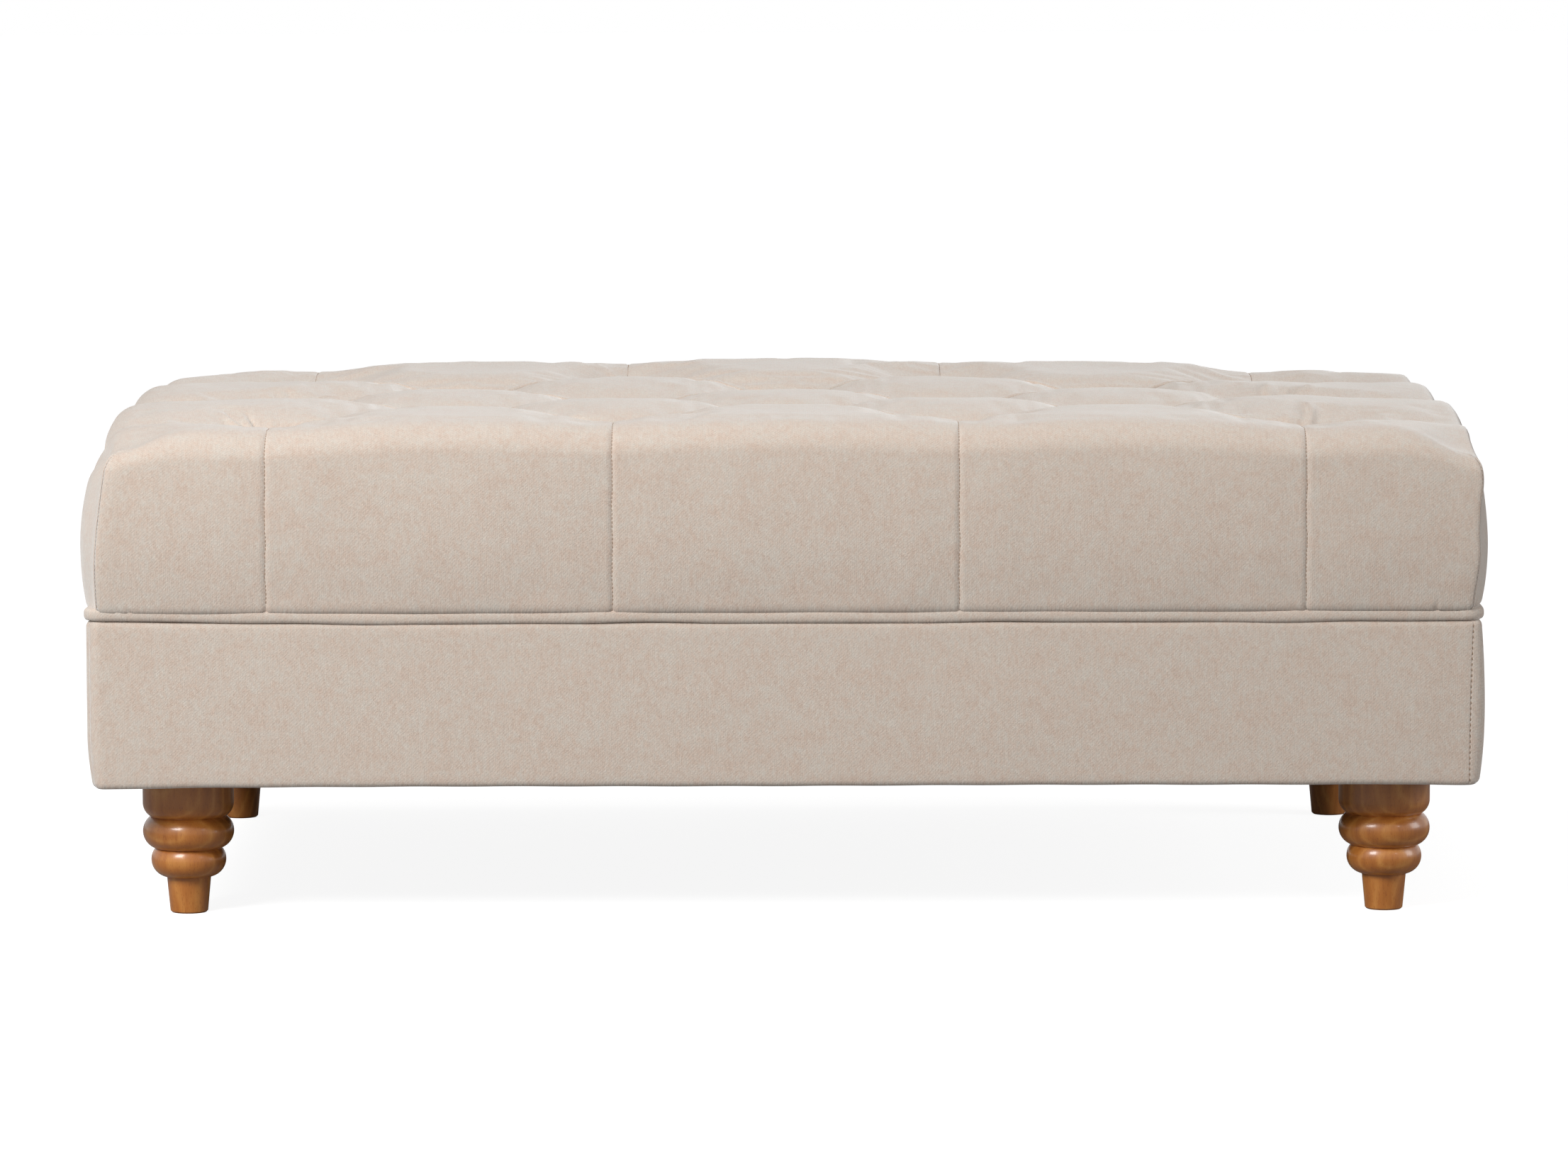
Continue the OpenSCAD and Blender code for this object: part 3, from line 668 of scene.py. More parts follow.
def held_points(grid):
    """Whether each point of the coarse cloth is held: at buttons, pleats, seams, corners and the foot."""
    x, y = grid.x, grid.y
    in_x, in_y = in_field(x, y)
    on_pleat = (np.abs(off_whole(rising(x, y))) < NEAR) | (np.abs(off_whole(falling(x, y))) < NEAR)
    on_seam_x, on_seam_y = np.abs(grid.off_x) < NEAR, np.abs(grid.off_y) < NEAR
    held = (in_x & in_y & on_pleat) | (in_x & ~in_y & on_seam_x) | (in_y & ~in_x & on_seam_y)
    held |= nearest_button(x, y) < BUTTON_D / 2
    wall = np.tile(np.abs(grid.ring_off) < NEAR, (grid.rows, 1))
    wall[-1] = True
    return np.concatenate([held.ravel(), wall.ravel()])


def press_cloth(grid):
    """Lets the coarse cover settle under pressure, and gives how far each of its points moved."""
    points = np.concatenate([grid.top().reshape(-1, 3), grid.wall().reshape(-1, 3)])
    piece = mesh_object("pressed_cover", points, grid.faces())
    group = piece.vertex_groups.new(name="held")
    group.add(np.flatnonzero(held_points(grid)).tolist(), 1.0, "REPLACE")
    cloth = piece.modifiers.new("Cloth", "CLOTH")
    for key, setting in CLOTH_SETTINGS.items():
        setattr(cloth.settings, key, setting)
    cloth.settings.effector_weights.gravity = 0
    cloth.collision_settings.use_collision = False
    scene = bpy.context.scene
    for number in range(1, CLOTH_FRAMES + 1):
        scene.frame_set(number)
    shaped = piece.evaluated_get(bpy.context.evaluated_depsgraph_get())
    moved = vectors_of(shaped.data.vertices, "co") - points
    scene.frame_set(1)
    bpy.data.objects.remove(piece)
    reach = np.linalg.norm(moved, axis=1, keepdims=True)
    return moved * np.minimum(1, CLOTH_CAP / np.maximum(reach, NEAR))


def refined(values, axis, closed=False):
    """Values of the coarse grid along an axis, spread evenly over the fine one."""
    values = np.moveaxis(values, axis, 0)
    following = np.roll(values, -1, axis=0) if closed else values[1:]
    leading = values if closed else values[:-1]
    steps = [leading + (following - leading) * k / COARSE_STEP for k in range(COARSE_STEP)]
    result = np.stack(steps, axis=1).reshape(-1, *values.shape[1:])
    if not closed:
        result = np.concatenate([result, values[-1:]])
    return np.moveaxis(result, 0, axis)


def evened(values, passes):
    """The slow part of a field of movements."""
    for _ in range(passes):
        for axis in (0, 1):
            padded = np.concatenate([values.take([0], axis), values, values.take([-1], axis)], axis)
            before, after = np.delete(padded, [-2, -1], axis), np.delete(padded, [0, 1], axis)
            values = (before + 2 * values + after) / 4
    return values


def pad_settling(coarse):
    """Movement of the fine grid's top and wall, from the pressed coarse cover."""
    top, wall = coarse.split(press_cloth(coarse))
    inside = np.minimum(*from_rim(coarse.x, coarse.y))
    top = top - EVEN_SHARE * evened(top, EVEN_PASSES)
    top = top * (SIDE_SETTLING + (TOP_SETTLING - SIDE_SETTLING) * ease(inside / SETTLING_EDGE))[..., None]
    wall = np.concatenate([top[coarse.ring_j, coarse.ring_i][None], SIDE_SETTLING * wall])
    top = evened(refined(refined(top, 0), 1), 2)
    wall = refined(refined(wall, 0), 1, closed=True)[1:]
    return top, wall


# Pad: tucks, puckers and folds that the fine mesh carries

PLEAT_STEP = 1 / math.hypot(1 / COL_GAP, 1 / SEAM_GAP_Y)
TUCK_PULL = 0.9 * MM
TUCK_LIP_PULL = 0.5 * MM
TUCK_REACH = 1.6 * MM
TUCK_GROOVE = 2.6 * MM
TUCK_GROOVE_W = 1.1 * MM
TUCK_RIDGE = 4.2 * MM
TUCK_RIDGE_W = 2.6 * MM
TUCK_RIDGE_PLACE = 3.2 * MM
TUCK_LEAST = 0.5
TUCK_FULL_TO = 1.15
TUCK_CLEAR = 8 * MM
TUCK_RISE_RUN = 14 * MM
PUCKER_HEIGHT = 0.8 * MM
PUCKER_CLEAR = 9 * MM
PUCKER_RISE_RUN = 8 * MM
PUCKER_FULL = 12 * MM
PUCKER_REACH = 40 * MM

# Folds that stand out at the outer buttons: button, turn at the start and at the end in degrees, start and
# end in millimetres from the button, height and half width in millimetres, and how deep a crease runs along
# it: above 0 on the right, below 0 on the left

FRONT_LEFT, FRONT_RIGHT, MIDDLE_LEFT, MIDDLE_RIGHT = 0, 3, 4, 7
BUTTON_FOLDS = [
    (FRONT_LEFT, 148, 126, 24, 92, 5.2, 4.0, 0.9),
    (FRONT_LEFT, 130, 116, 24, 80, 4.4, 3.2, 0.8),
    (FRONT_LEFT, 158, 152, 26, 70, 2.8, 4.0, 0.6),
    (FRONT_LEFT, 100, 96, 24, 64, 1.6, 4.0, 0.4),
    (FRONT_LEFT, 56, 66, 30, 78, 0.8, 4.0, 0),
    (FRONT_RIGHT, 64, 80, 20, 96, 3.6, 4.5, -0.4),
    (FRONT_RIGHT, 98, 92, 24, 60, 1.4, 4.0, 0),
    (FRONT_RIGHT, 36, 50, 24, 64, 1.6, 5.0, 0),
    (FRONT_RIGHT, 128, 134, 20, 80, 2.0, 5.0, 0),
    (MIDDLE_LEFT, 118, 116, 30, 72, 1.2, 3.5, 0.4),
    (MIDDLE_LEFT, 106, 104, 30, 78, 1.8, 4.0, 0.5),
    (MIDDLE_LEFT, 72, 58, 36, 80, 1.2, 2.6, 0.3),
    (MIDDLE_RIGHT, 94, 90, 30, 95, 3.2, 5.0, -0.4),
    (MIDDLE_RIGHT, 76, 76, 30, 80, 2.0, 3.0, -0.3),
    (MIDDLE_RIGHT, 58, 66, 30, 105, 3.0, 4.5, -0.4),
]
FOLD_CREASE_W = 0.45
FOLD_CREASE_PLACE = 1.3
SEAM_PULL = 2.4 * MM
SEAM_REACH = 3.7 * MM
SEAM_MOST_PULL = 0.85
SEAM_GROOVE = 1.7 * MM
SEAM_GROOVE_W = 1.2 * MM
SEAM_ON_TOP = 14 * MM
SEAM_TO_BUTTON = 0.88
TOP_SEAM_SHARE = 0.35
SEAM_WANDER = 0.5 * MM
WANDER_REACH = 12 * MM
WAVE_HEIGHT = 0.7 * MM
WAVE_CLEAR = 20 * MM

# Creases where the front face is drawn into the welt: place along the front, height that it reaches above
# the foot, lean, depth and half width, in millimetres and as a slope

FOOT_CREASES = [
    (551, 14, 0.15, 1.6, 1.6),
    (-566, 12, -0.7, 0.9, 1.4),
    (-556, 9, -0.8, 0.7, 1.4),
    (431, 8, 0.1, 0.5, 2.0),
]


def pleat_distances(x, y):
    """Distance to the nearest pleat of each family, positive on its rear side, with the way to its rear."""
    slant = PLEAT_STEP / COL_GAP
    lean = PLEAT_STEP / SEAM_GAP_Y
    return [
        (off_whole(rising(x, y)) * PLEAT_STEP, (slant, lean)),
        (-off_whole(falling(x, y)) * PLEAT_STEP, (-slant, lean)),
    ]


def field_share(x, y):
    """1 well inside the button field and away from the buttons, 0 outside it."""
    in_x, in_y = in_field(x, y)
    return (in_x & in_y) * ease((nearest_button(x, y) - TUCK_CLEAR) / TUCK_RISE_RUN)


def gather_to_pleats(x, y):
    """Draws the grid in towards the pleats, so that each tuck is narrow."""
    strength = field_share(x, y)
    move_x, move_y = np.zeros_like(x), np.zeros_like(y)
    for distance, (way_x, way_y) in pleat_distances(x, y):
        step = np.abs(distance) / TUCK_REACH
        size = np.where(distance > 0, TUCK_PULL + TUCK_LIP_PULL, TUCK_PULL)
        pull = -np.sign(distance) * size * step * np.exp(1 - step) * strength
        move_x += way_x * pull
        move_y += way_y * pull
    return move_x, move_y


def tuck_height(x, y):
    """A narrow groove along each pleat with a rolled edge on its rear side, fullest near the buttons."""
    fullness = ease(TUCK_FULL_TO - nearest_button(x, y) / (PLEAT_STEP / 2))
    strength = field_share(x, y) * (TUCK_LEAST + (1 - TUCK_LEAST) * fullness)
    height = np.zeros_like(x)
    for distance, _ in pleat_distances(x, y):
        groove = TUCK_GROOVE * bell(distance, TUCK_GROOVE_W)
        ridge = TUCK_RIDGE * bell(distance - TUCK_RIDGE_PLACE, TUCK_RIDGE_W)
        height += strength * (ridge - groove)
    return height


def pucker_height(x, y):
    """Small folds that fan out from each button, of a different count and turn at each."""
    height = np.zeros_like(x)
    for k, (bx, by) in enumerate(BUTTONS):
        away = np.hypot(x - bx, y - by)
        angle = np.arctan2(y - by, x - bx)
        folds = 9 + k % 3
        wave = np.sin(folds * angle + 1.7 * k) + 0.5 * np.sin((folds + 4) * angle + 0.6 * k)
        fade = ease((away - PUCKER_CLEAR) / PUCKER_RISE_RUN)
        fade = fade * share_of(1 - (away - PUCKER_FULL) / PUCKER_REACH) ** 2
        height += PUCKER_HEIGHT * wave * fade
    return height


def fold_height(x, y):
    """The folds that stand out, each a low ridge with a crease along one side."""
    height = np.zeros_like(x)
    for button, turn, last_turn, start, end, size, width, crease in BUTTON_FOLDS:
        dx, dy = x - BUTTONS[button][0], y - BUTTONS[button][1]
        away = np.hypot(dx, dy)
        share = (away / MM - start) / (end - start)
        line = np.radians(turn + (last_turn - turn) * share_of(share))
        across = (dx * np.sin(line) - dy * np.cos(line)) / (width * MM)
        ahead = dx * np.cos(line) + dy * np.sin(line) > 0
        fade = ease(4 * share + 1) * ease(2 * (1 - share)) * ahead
        beside = bell(across - math.copysign(FOLD_CREASE_PLACE, crease), FOLD_CREASE_W)
        height += size * MM * fade * (bell(across, 1) - abs(crease) * beside)
    return height


def foot_crease_depth(x, y, z):
    """Depth of the short creases at the foot of the front face."""
    depth = np.zeros_like(x)
    above = z - PAD_FOOT
    for place, reach, lean, size, width in FOOT_CREASES:
        across = (x - place * MM - lean * above) / (width * MM)
        fade = ease((reach * MM - above) / (reach * MM)) * (y < -FIELD_Y)
        depth += size * MM * bell(across, 1) * fade
    return depth


def gathered(offset):
    """How far a point near a seam is drawn in towards it, and never past it."""
    step = np.abs(offset) / SEAM_REACH
    pull = np.minimum(SEAM_PULL * step * np.exp(1 - step), SEAM_MOST_PULL * np.abs(offset))
    return -np.sign(offset) * pull


def seam_reach(inside, margin, runs_to_button):
    """How much of a seam's form the top has: a button's seam runs all the way in, a corner's ends at once."""
    short = ease(1 - inside / (2 * SEAM_ON_TOP))
    return np.where(runs_to_button, ease(8 * (SEAM_TO_BUTTON - inside / margin)), short)


def slow_waves(x, y, z):
    """Gentle unevenness of hand-stuffed cloth, about 1 unit high."""
    first = np.sin(31 * x + 1.3) * np.sin(37 * y + 0.4 + 23 * z) * 0.5
    second = np.sin(53 * x - 19 * y + 2.1 + 41 * z) * 0.3
    third = np.sin(87 * x + 61 * y + 11 * z) * 0.2
    return first + second + third


def seam_wander(height):
    """Small sideways unevenness of the sewing on the way down."""
    waves = 0.6 * np.sin(120 * height) + 0.3 * np.sin(290 * height + 1) + 0.2 * np.sin(610 * height)
    return SEAM_WANDER * waves


def draw_to_pleats_and_seams(fine, top, wall, face_edge, end_edge):
    """Moves the points near each pleat and seam towards it, and lets the seams of the sides wander."""
    move_x, move_y = gather_to_pleats(fine.x, fine.y)
    top[..., 0] += move_x + face_edge * gathered(fine.off_x)
    top[..., 1] += move_y + end_edge * gathered(fine.off_y)
    corner = np.hypot(*from_rim(fine.ring_x, fine.ring_y)) < SEAM_RUN
    wander = seam_wander(wall[..., 2]) * ease(6 * fine.down) * ease(6 * (1 - fine.down)) * ~corner
    aside = gathered(fine.ring_off) + wander * bell(fine.ring_off, WANDER_REACH)
    wall[..., 0] += np.where(fine.on_face, aside, 0)
    wall[..., 1] += np.where(fine.on_end, aside, 0)


def pad_lift(fine, points, face_edge, end_edge):
    """How far each point stands out: tucks, puckers, folds and slow waves, less the grooves and creases."""
    count = fine.x.size
    shown = count + fine.rows * len(fine.ring_i)
    lift = np.zeros(len(points))
    near_rim = ease(1 - np.minimum(*from_rim(fine.x, fine.y)) / (2 * SEAM_ON_TOP))
    rim_groove = SEAM_GROOVE * (TOP_SEAM_SHARE + (1 - TOP_SEAM_SHARE) * near_rim)
    face_groove, end_groove, ring_groove = [
        bell(off + gathered(off), SEAM_GROOVE_W) for off in (fine.off_x, fine.off_y, fine.ring_off)]
    top_groove = np.maximum(face_groove * face_edge, end_groove * end_edge)
    folds = tuck_height(fine.x, fine.y) + pucker_height(fine.x, fine.y) + fold_height(fine.x, fine.y)
    lift[:count] = (folds - rim_groove * top_groove).ravel()
    lift[count:shown] = -SEAM_GROOVE * np.tile(ring_groove, fine.rows)
    px, py, pz = points[:shown].T
    lift[:shown] += WAVE_HEIGHT * slow_waves(px, py, pz) * ease((pz - PAD_FOOT) / WAVE_CLEAR)
    lift[:shown] -= foot_crease_depth(px, py, pz)
    return lift


def make_pad():
    fine = PadGrid(1)
    top, wall = fine.top(), fine.wall()
    top_move, wall_move = pad_settling(PadGrid(COARSE_STEP))
    top, wall = top + top_move, wall + wall_move
    face_edge = seam_reach(RIM_Y - np.abs(fine.y), RIM_Y - FIELD_Y, np.abs(fine.x) < RIM_X - SEAM_RUN)
    end_edge = seam_reach(RIM_X - np.abs(fine.x), RIM_X - FIELD_X, np.abs(fine.y) < RIM_Y - SEAM_RUN)
    draw_to_pleats_and_seams(fine, top, wall, face_edge, end_edge)
    points = np.concatenate([top.reshape(-1, 3), wall.reshape(-1, 3)])
    rim = np.column_stack([fine.ring_x, fine.ring_y])
    under, under_faces = pad_underside(wall[-1], rim, len(points))
    points = np.concatenate([points, under])
    piece = mesh_object("tufted_pad", points, np.concatenate([fine.faces(), under_faces]))
    lift = pad_lift(fine, points, face_edge, end_edge)
    points = points + vectors_of(piece.data.vertex_normals, "vector") * lift[:, None]
    piece.data.vertices.foreach_set("co", np.asarray(points, np.float32).ravel())
    piece.data.update()
    dress(piece, "cover_cloth", "seat_cover", "seat_foam")
    top, wall = fine.split(points)
    seams = np.flatnonzero(np.abs(fine.ring_off) < NEAR)
    lines = [np.concatenate([seam_on_top(fine, top, column), wall[:-1, column]]) for column in seams]
    make_stitches("pad_stitches", lines, PAD_STITCH_PITCH)


def seam_on_top(fine, top, column):
    """The points of a seam that lie on the top, from near its button out to the rim."""
    i, j = fine.ring_i[column], fine.ring_j[column]
    if fine.on_face[column] and fine.on_end[column]:
        return top[j, i][None]
    if fine.on_face[column]:
        line, place, cells = top[:, i], j, MARGIN_Y_CELLS
    else:
        line, place, cells = top[j], i, MARGIN_X_CELLS
    inward = line if place == 0 else line[::-1]
    return inward[:round(SEAM_TO_BUTTON * cells) + 1][::-1]


# Stitches: short lengths of thread that lie along a seam

PAD_STITCH_PITCH = 3.5 * MM
BASE_STITCH_PITCH = 4.7 * MM
STITCH_L = 2.8 * MM
STITCH_R = 0.32 * MM
STITCH_SIDES = 6
STITCH_SHOULDER = 0.55
ACROSS_NO_SEAM = 0.577, 0.577, -0.577


def make_stitches(name, lines, pitch):
    """One thread piece with a stitch at every pitch along each line of points."""
    points, faces = [], []
    for line in lines:
        along = length_along(line)
        for place in np.arange(pitch, along[-1] - pitch, pitch):
            middle, ahead = [np.array([np.interp(s, along, line[:, axis]) for axis in range(3)])
                             for s in (place, place + STITCH_L / 2)]
            add_stitch(points, faces, middle, ahead - middle)
    dress(mesh_object(name, np.array(points), faces), "twine", material=SEAM_THREAD)


def add_stitch(points, faces, middle, half):
    """A spindle of thread: two rings round its middle, and a point at each end."""
    way = half / np.linalg.norm(half)
    side = np.cross(way, ACROSS_NO_SEAM)
    side /= np.linalg.norm(side)
    other = np.cross(way, side)
    first = len(points)
    points.append(middle - half)
    for end in (-STITCH_SHOULDER, STITCH_SHOULDER):
        for k in range(STITCH_SIDES):
            turn = 2 * math.pi / STITCH_SIDES * k
            points.append(middle + end * half + STITCH_R * (math.cos(turn) * side + math.sin(turn) * other))
    points.append(middle + half)
    last = len(points) - 1
    for k in range(STITCH_SIDES):
        a, b = first + 1 + k, first + 1 + (k + 1) % STITCH_SIDES
        faces += [(first, b, a), (a, b, b + STITCH_SIDES, a + STITCH_SIDES)]
        faces.append((last, a + STITCH_SIDES, b + STITCH_SIDES))


def rounded_plan(plan, half_x, half_y, radius):
    """Brings plan points onto or inside a rectangle with round corners."""
    size = np.abs(plan)
    centre = np.minimum(size, (half_x - radius, half_y - radius))
    beyond = size - centre
    length = np.maximum(np.linalg.norm(beyond, axis=1, keepdims=True), NEAR)
    return np.sign(plan) * (centre + beyond * np.minimum(1, radius / length))


# Pad: its underside

PAD_GAP = 0.3 * MM
TUCK_SPREAD = 1.1
TUCK_IN = 1.7 * WELT_R
TUCK_CORNER = WELT_CORNER - 0.7 * WELT_R


def pad_underside(foot, rim, first):
    """The pad's seat: down behind the welt, in to the board, up round the board's edge and across its top."""
    ring = len(foot)
    tuck = rounded_plan(rim * TUCK_SPREAD, WELT_HIGH.x - TUCK_IN, WELT_HIGH.y - TUCK_IN, TUCK_CORNER)
    low_corner = BOARD_LOW.x - PAD_GAP, BOARD_LOW.y - PAD_GAP
    high_corner = BOARD_HIGH.x + PAD_GAP, BOARD_HIGH.y + PAD_GAP
    board = np.clip(foot[:, :2], low_corner, high_corner)
    board_top = BOARD_HIGH.z + PAD_GAP
    levels = [(tuck, WELT_Z), (board, WELT_Z), (board, board_top), (np.zeros((1, 2)), board_top)]
    points = [np.column_stack([plan, np.full(len(plan), height)]) for plan, height in levels]
    rings = [first + k * ring + np.arange(ring) for k in range(-1, 3)]
    hub = np.full(ring, first + 3 * ring)
    faces = band_faces(rings) + [np.column_stack([rings[-1], hub, np.roll(rings[-1], -1)])]
    return np.concatenate(points), np.concatenate(faces)


# Sweeps: a closed section carried along a plan path

ARC_STEPS = 10


def rounded_path(half_x, half_y, radius, spacing):
    """Closed plan path, anticlockwise from the front left, with outward ways: straights and round corners."""
    points, ways = [], []
    previous = np.array((-(half_x - radius), -half_y))
    for sx, sy, turn in ((1, -1, -90), (1, 1, 0), (-1, 1, 90), (-1, -1, 180)):
        centre = sx * (half_x - radius), sy * (half_y - radius)
        start = math.radians(turn)
        first = around(centre, radius, start)
        count = max(1, round(math.dist(previous, first) / spacing))
        for k in range(count):
            points.append(previous + k / count * (first - previous))
            ways.append(around((0, 0), 1, start))
        for k in range(ARC_STEPS):
            angle = start + math.pi / 2 * k / ARC_STEPS
            points.append(around(centre, radius, angle))
            ways.append(around((0, 0), 1, angle))
        previous = around(centre, radius, start + math.pi / 2)
    return np.array(points), np.array(ways)


def sweep_faces(count, sides, closed):
    """Quads of a section of so many points, carried past so many places."""
    index = np.arange(count * sides).reshape(count, sides)
    following = np.roll(index, -1, axis=0) if closed else index[1:]
    leading = index if closed else index[:-1]
    aside = np.roll(leading, -1, axis=1), np.roll(following, -1, axis=1)
    faces = np.stack([leading, *aside, following], axis=-1).reshape(-1, 4).tolist()
    if not closed:
        faces += [index[0][::-1].tolist(), index[-1].tolist()]
    return faces


# Welt: a covered cord with its sewn lip, laid round the foot of the pad

WELT_SIDES = 16
WELT_OPENING = 164
WELT_SPACING = 6 * MM
WELT_LIP = 16 * MM
WELT_LIP_T = 1.2 * MM
WELT_RISE_LEFT = 2.6 * MM
WELT_RISE_REACH = 110 * MM
WELT_RIGHT_IN = 3.5 * MM


def front_left(x, y):
    """1 at the front left corner of the base, fading along the front and along the end."""
    return bell(np.hypot(x + BASE_X, y + BASE_Y), WELT_RISE_REACH)


def squared(value):
    """Makes a round section a little square, as a cord pressed between two pieces is."""
    return math.copysign(abs(value) ** 0.72, value)


def make_welt():
    plan, ways = rounded_path(WELT_HIGH.x - WELT_R, WELT_HIGH.y - WELT_R, WELT_CORNER, WELT_SPACING)
    lip_z = BOARD_LOW.z - WELT_Z
    angles = np.linspace(math.radians(-WELT_OPENING), math.radians(WELT_OPENING), WELT_SIDES)
    section = [(WELT_R * squared(math.cos(a)), WELT_R * squared(math.sin(a))) for a in angles]
    section = np.array(section + [(-WELT_LIP, lip_z), (-WELT_LIP, lip_z - WELT_LIP_T)])
    along = length_along(plan)
    turn = 2 * math.pi * along / (along[-1] + WELT_SPACING)
    rise = 0.5 * MM * np.sin(11 * turn) + 0.35 * MM * np.sin(26 * turn + 1)
    rise = rise + WELT_RISE_LEFT * front_left(plan[:, 0], plan[:, 1])
    slack = 0.3 * MM * np.sin(19 * turn + 2)
    thick = (1 + 0.03 * np.sin(40 * turn))[:, None]
    out = section[:, 0] * thick + slack[:, None]
    x, y = (plan[:, axis][:, None] + ways[:, axis][:, None] * out for axis in (0, 1))
    x = x - WELT_RIGHT_IN * ease((x - FIELD_X) / (BASE_X - FIELD_X))
    z = WELT_Z + section[:, 1] * thick + rise[:, None]
    piece = mesh_object("welt_cord", np.stack([x, y, z], axis=-1), sweep_faces(len(plan), len(section), True))
    dress(piece, "cover_cloth", "welt")


# Base covers: cloth drawn over wadding, turned under the rails and over their tops

CLOTH_T = 1.8 * MM
BASE_CORNER = 14 * MM
BASE_LOW_R = 5 * MM
BASE_TOP_R = 6 * MM
TURN_UNDER = 26 * MM
TURN_OVER = 18 * MM
FACE_ROWS = 26
FACE_STEPS = 190
END_STEPS = 120
CORNER_STEPS = 13
LEFT_SEAM_TURN = 35
RIGHT_SEAM_WANDER = 2.6 * MM
RIGHT_SEAM_REACH = 12 * MM
BASE_SEAM_DIP = 0.7 * MM
BASE_SEAM_REACH = 3.5 * MM
COVER_SWELL = 0.8 * MM
SWELL_RUN = 40 * MM
TOP_RISE = 0.7 * WELT_RISE_LEFT
TOP_WAVE = 0.6 * MM
EDGE_SAG = 1.7 * MM
LEFT_HANG = 1.6 * MM
LEFT_HANG_REACH = 60 * MM
RIGHT_HANG = 1.2 * MM
RIGHT_HANG_REACH = 30 * MM
RIGHT_HANG_IN = 20 * MM
WADDING_T = 6.3 * MM
WADDING_SHORT = 5 * MM
WADDING_GAP = 0.2 * MM
WADDING_ROWS = 16

# Shares of the height, how far each end's cover is drawn in there, and how steeply that changes

LEFT_DRAW = [0, 0.3, 1], in_mm(-4.5, 0, 0), in_mm(25, 0, 0)
RIGHT_DRAW = [0, 0.45, 1], in_mm(-5, -0.8, -4), in_mm(22, 0, -12)


def band_section(inset):
    """Line of the cover's section, from its turned-under edge round to its top edge: way out and height."""
    low_centre, top_centre = BASE_LOW + BASE_LOW_R, BASE_TOP - BASE_TOP_R
    low_arc, top_arc = ([math.radians(start + 18 * k) for k in range(6)] for start in (-90, 0))
    line = [(-TURN_UNDER, BASE_LOW + inset), (-TURN_UNDER / 2, BASE_LOW + inset)]
    line += [around((-BASE_LOW_R, low_centre), BASE_LOW_R - inset, angle) for angle in low_arc]
    line += [(-inset, low_centre + k * (top_centre - low_centre) / FACE_ROWS) for k in range(1, FACE_ROWS)]
    line += [around((-BASE_TOP_R, top_centre), BASE_TOP_R - inset, angle) for angle in top_arc]
    line.append((-TURN_OVER, BASE_TOP - inset))
    return np.array(line)


def cover_swell(x, y, height_share):
    """How far the cover stands out over its wadding: fullest at mid height, uneven along its length."""
    belly = np.sin(np.pi * height_share) ** 0.7
    return belly * (COVER_SWELL + COVER_SWELL * slow_waves(0.6 * x, 0.6 * y, 0.1 * height_share))


def bottom_sag(x, y, height_share):
    """How far the cover hangs at its lower edge: most at the front corners."""
    corners = LEFT_HANG * bell(np.hypot(x + BASE_X, y + BASE_Y), LEFT_HANG_REACH)
    corners = corners + RIGHT_HANG * bell(np.hypot(x - BASE_X + RIGHT_HANG_IN, y + BASE_Y), RIGHT_HANG_REACH)
    uneven = EDGE_SAG + 0.15 * MM * np.sin(71 * x + 2) + 0.2 * MM * np.sin(13 * x + 27 * y)
    return (corners + uneven) * share_of(1 - 3 * height_share) ** 2


def draped(plan, ways, section):
    """Points of a section carried along a run of the base, with the cloth's swell, draw and hang."""
    out, height = section[:, 0], section[:, 1]
    x0, y0 = plan[:, 0][:, None], plan[:, 1][:, None]
    way_x, way_y = ways[:, 0][:, None], ways[:, 1][:, None]
    height_share = share_of((height - BASE_LOW) / (BASE_TOP - BASE_LOW))
    outside = ease(1 + (out + 2 * MM) / (6 * MM))
    along = length_along(plan)[:, None]
    from_seam = np.minimum(along, along[-1] - along)
    swell = cover_swell(x0, y0, height_share) * ease(from_seam / SWELL_RUN)
    swell = swell - BASE_SEAM_DIP * bell(from_seam, BASE_SEAM_REACH)
    left_draw, right_draw = (curve_through(height_share, *draw) for draw in (LEFT_DRAW, RIGHT_DRAW))
    draw = np.where(x0 < 0, left_draw, right_draw) * np.abs(way_x)
    out = out + (swell + draw) * outside
    from_right_seam = np.hypot(x0 - (BASE_X - BASE_CORNER), y0 + BASE_Y)
    wander = RIGHT_SEAM_WANDER * height_share ** 2 * bell(from_right_seam, RIGHT_SEAM_REACH)
    top_rise = TOP_RISE * front_left(x0, y0) + TOP_WAVE * slow_waves(x0, y0, 0.4)
    hang = bottom_sag(x0, y0, height_share) * ease(1 + (out + 3 * MM) / (14 * MM))
    z = height + top_rise * height_share ** 4 - hang
    return np.stack([x0 + way_x * out + wander * outside, y0 + way_y * out, z], axis=-1)


def make_base_cover(side, plan, ways):
    """The cover of one side, as a piece; gives the points down its seam at the run's start."""
    outer, inner = band_section(0.0), band_section(CLOTH_T)
    section = np.concatenate([outer, inner[::-1]])
    points = draped(plan, ways, section)
    piece = mesh_object("base_panel_" + side, points, sweep_faces(len(plan), len(section), False))
    dress(piece, "cover_cloth", "base_cover_" + side)
    return points[0, 4:len(outer) - 2]


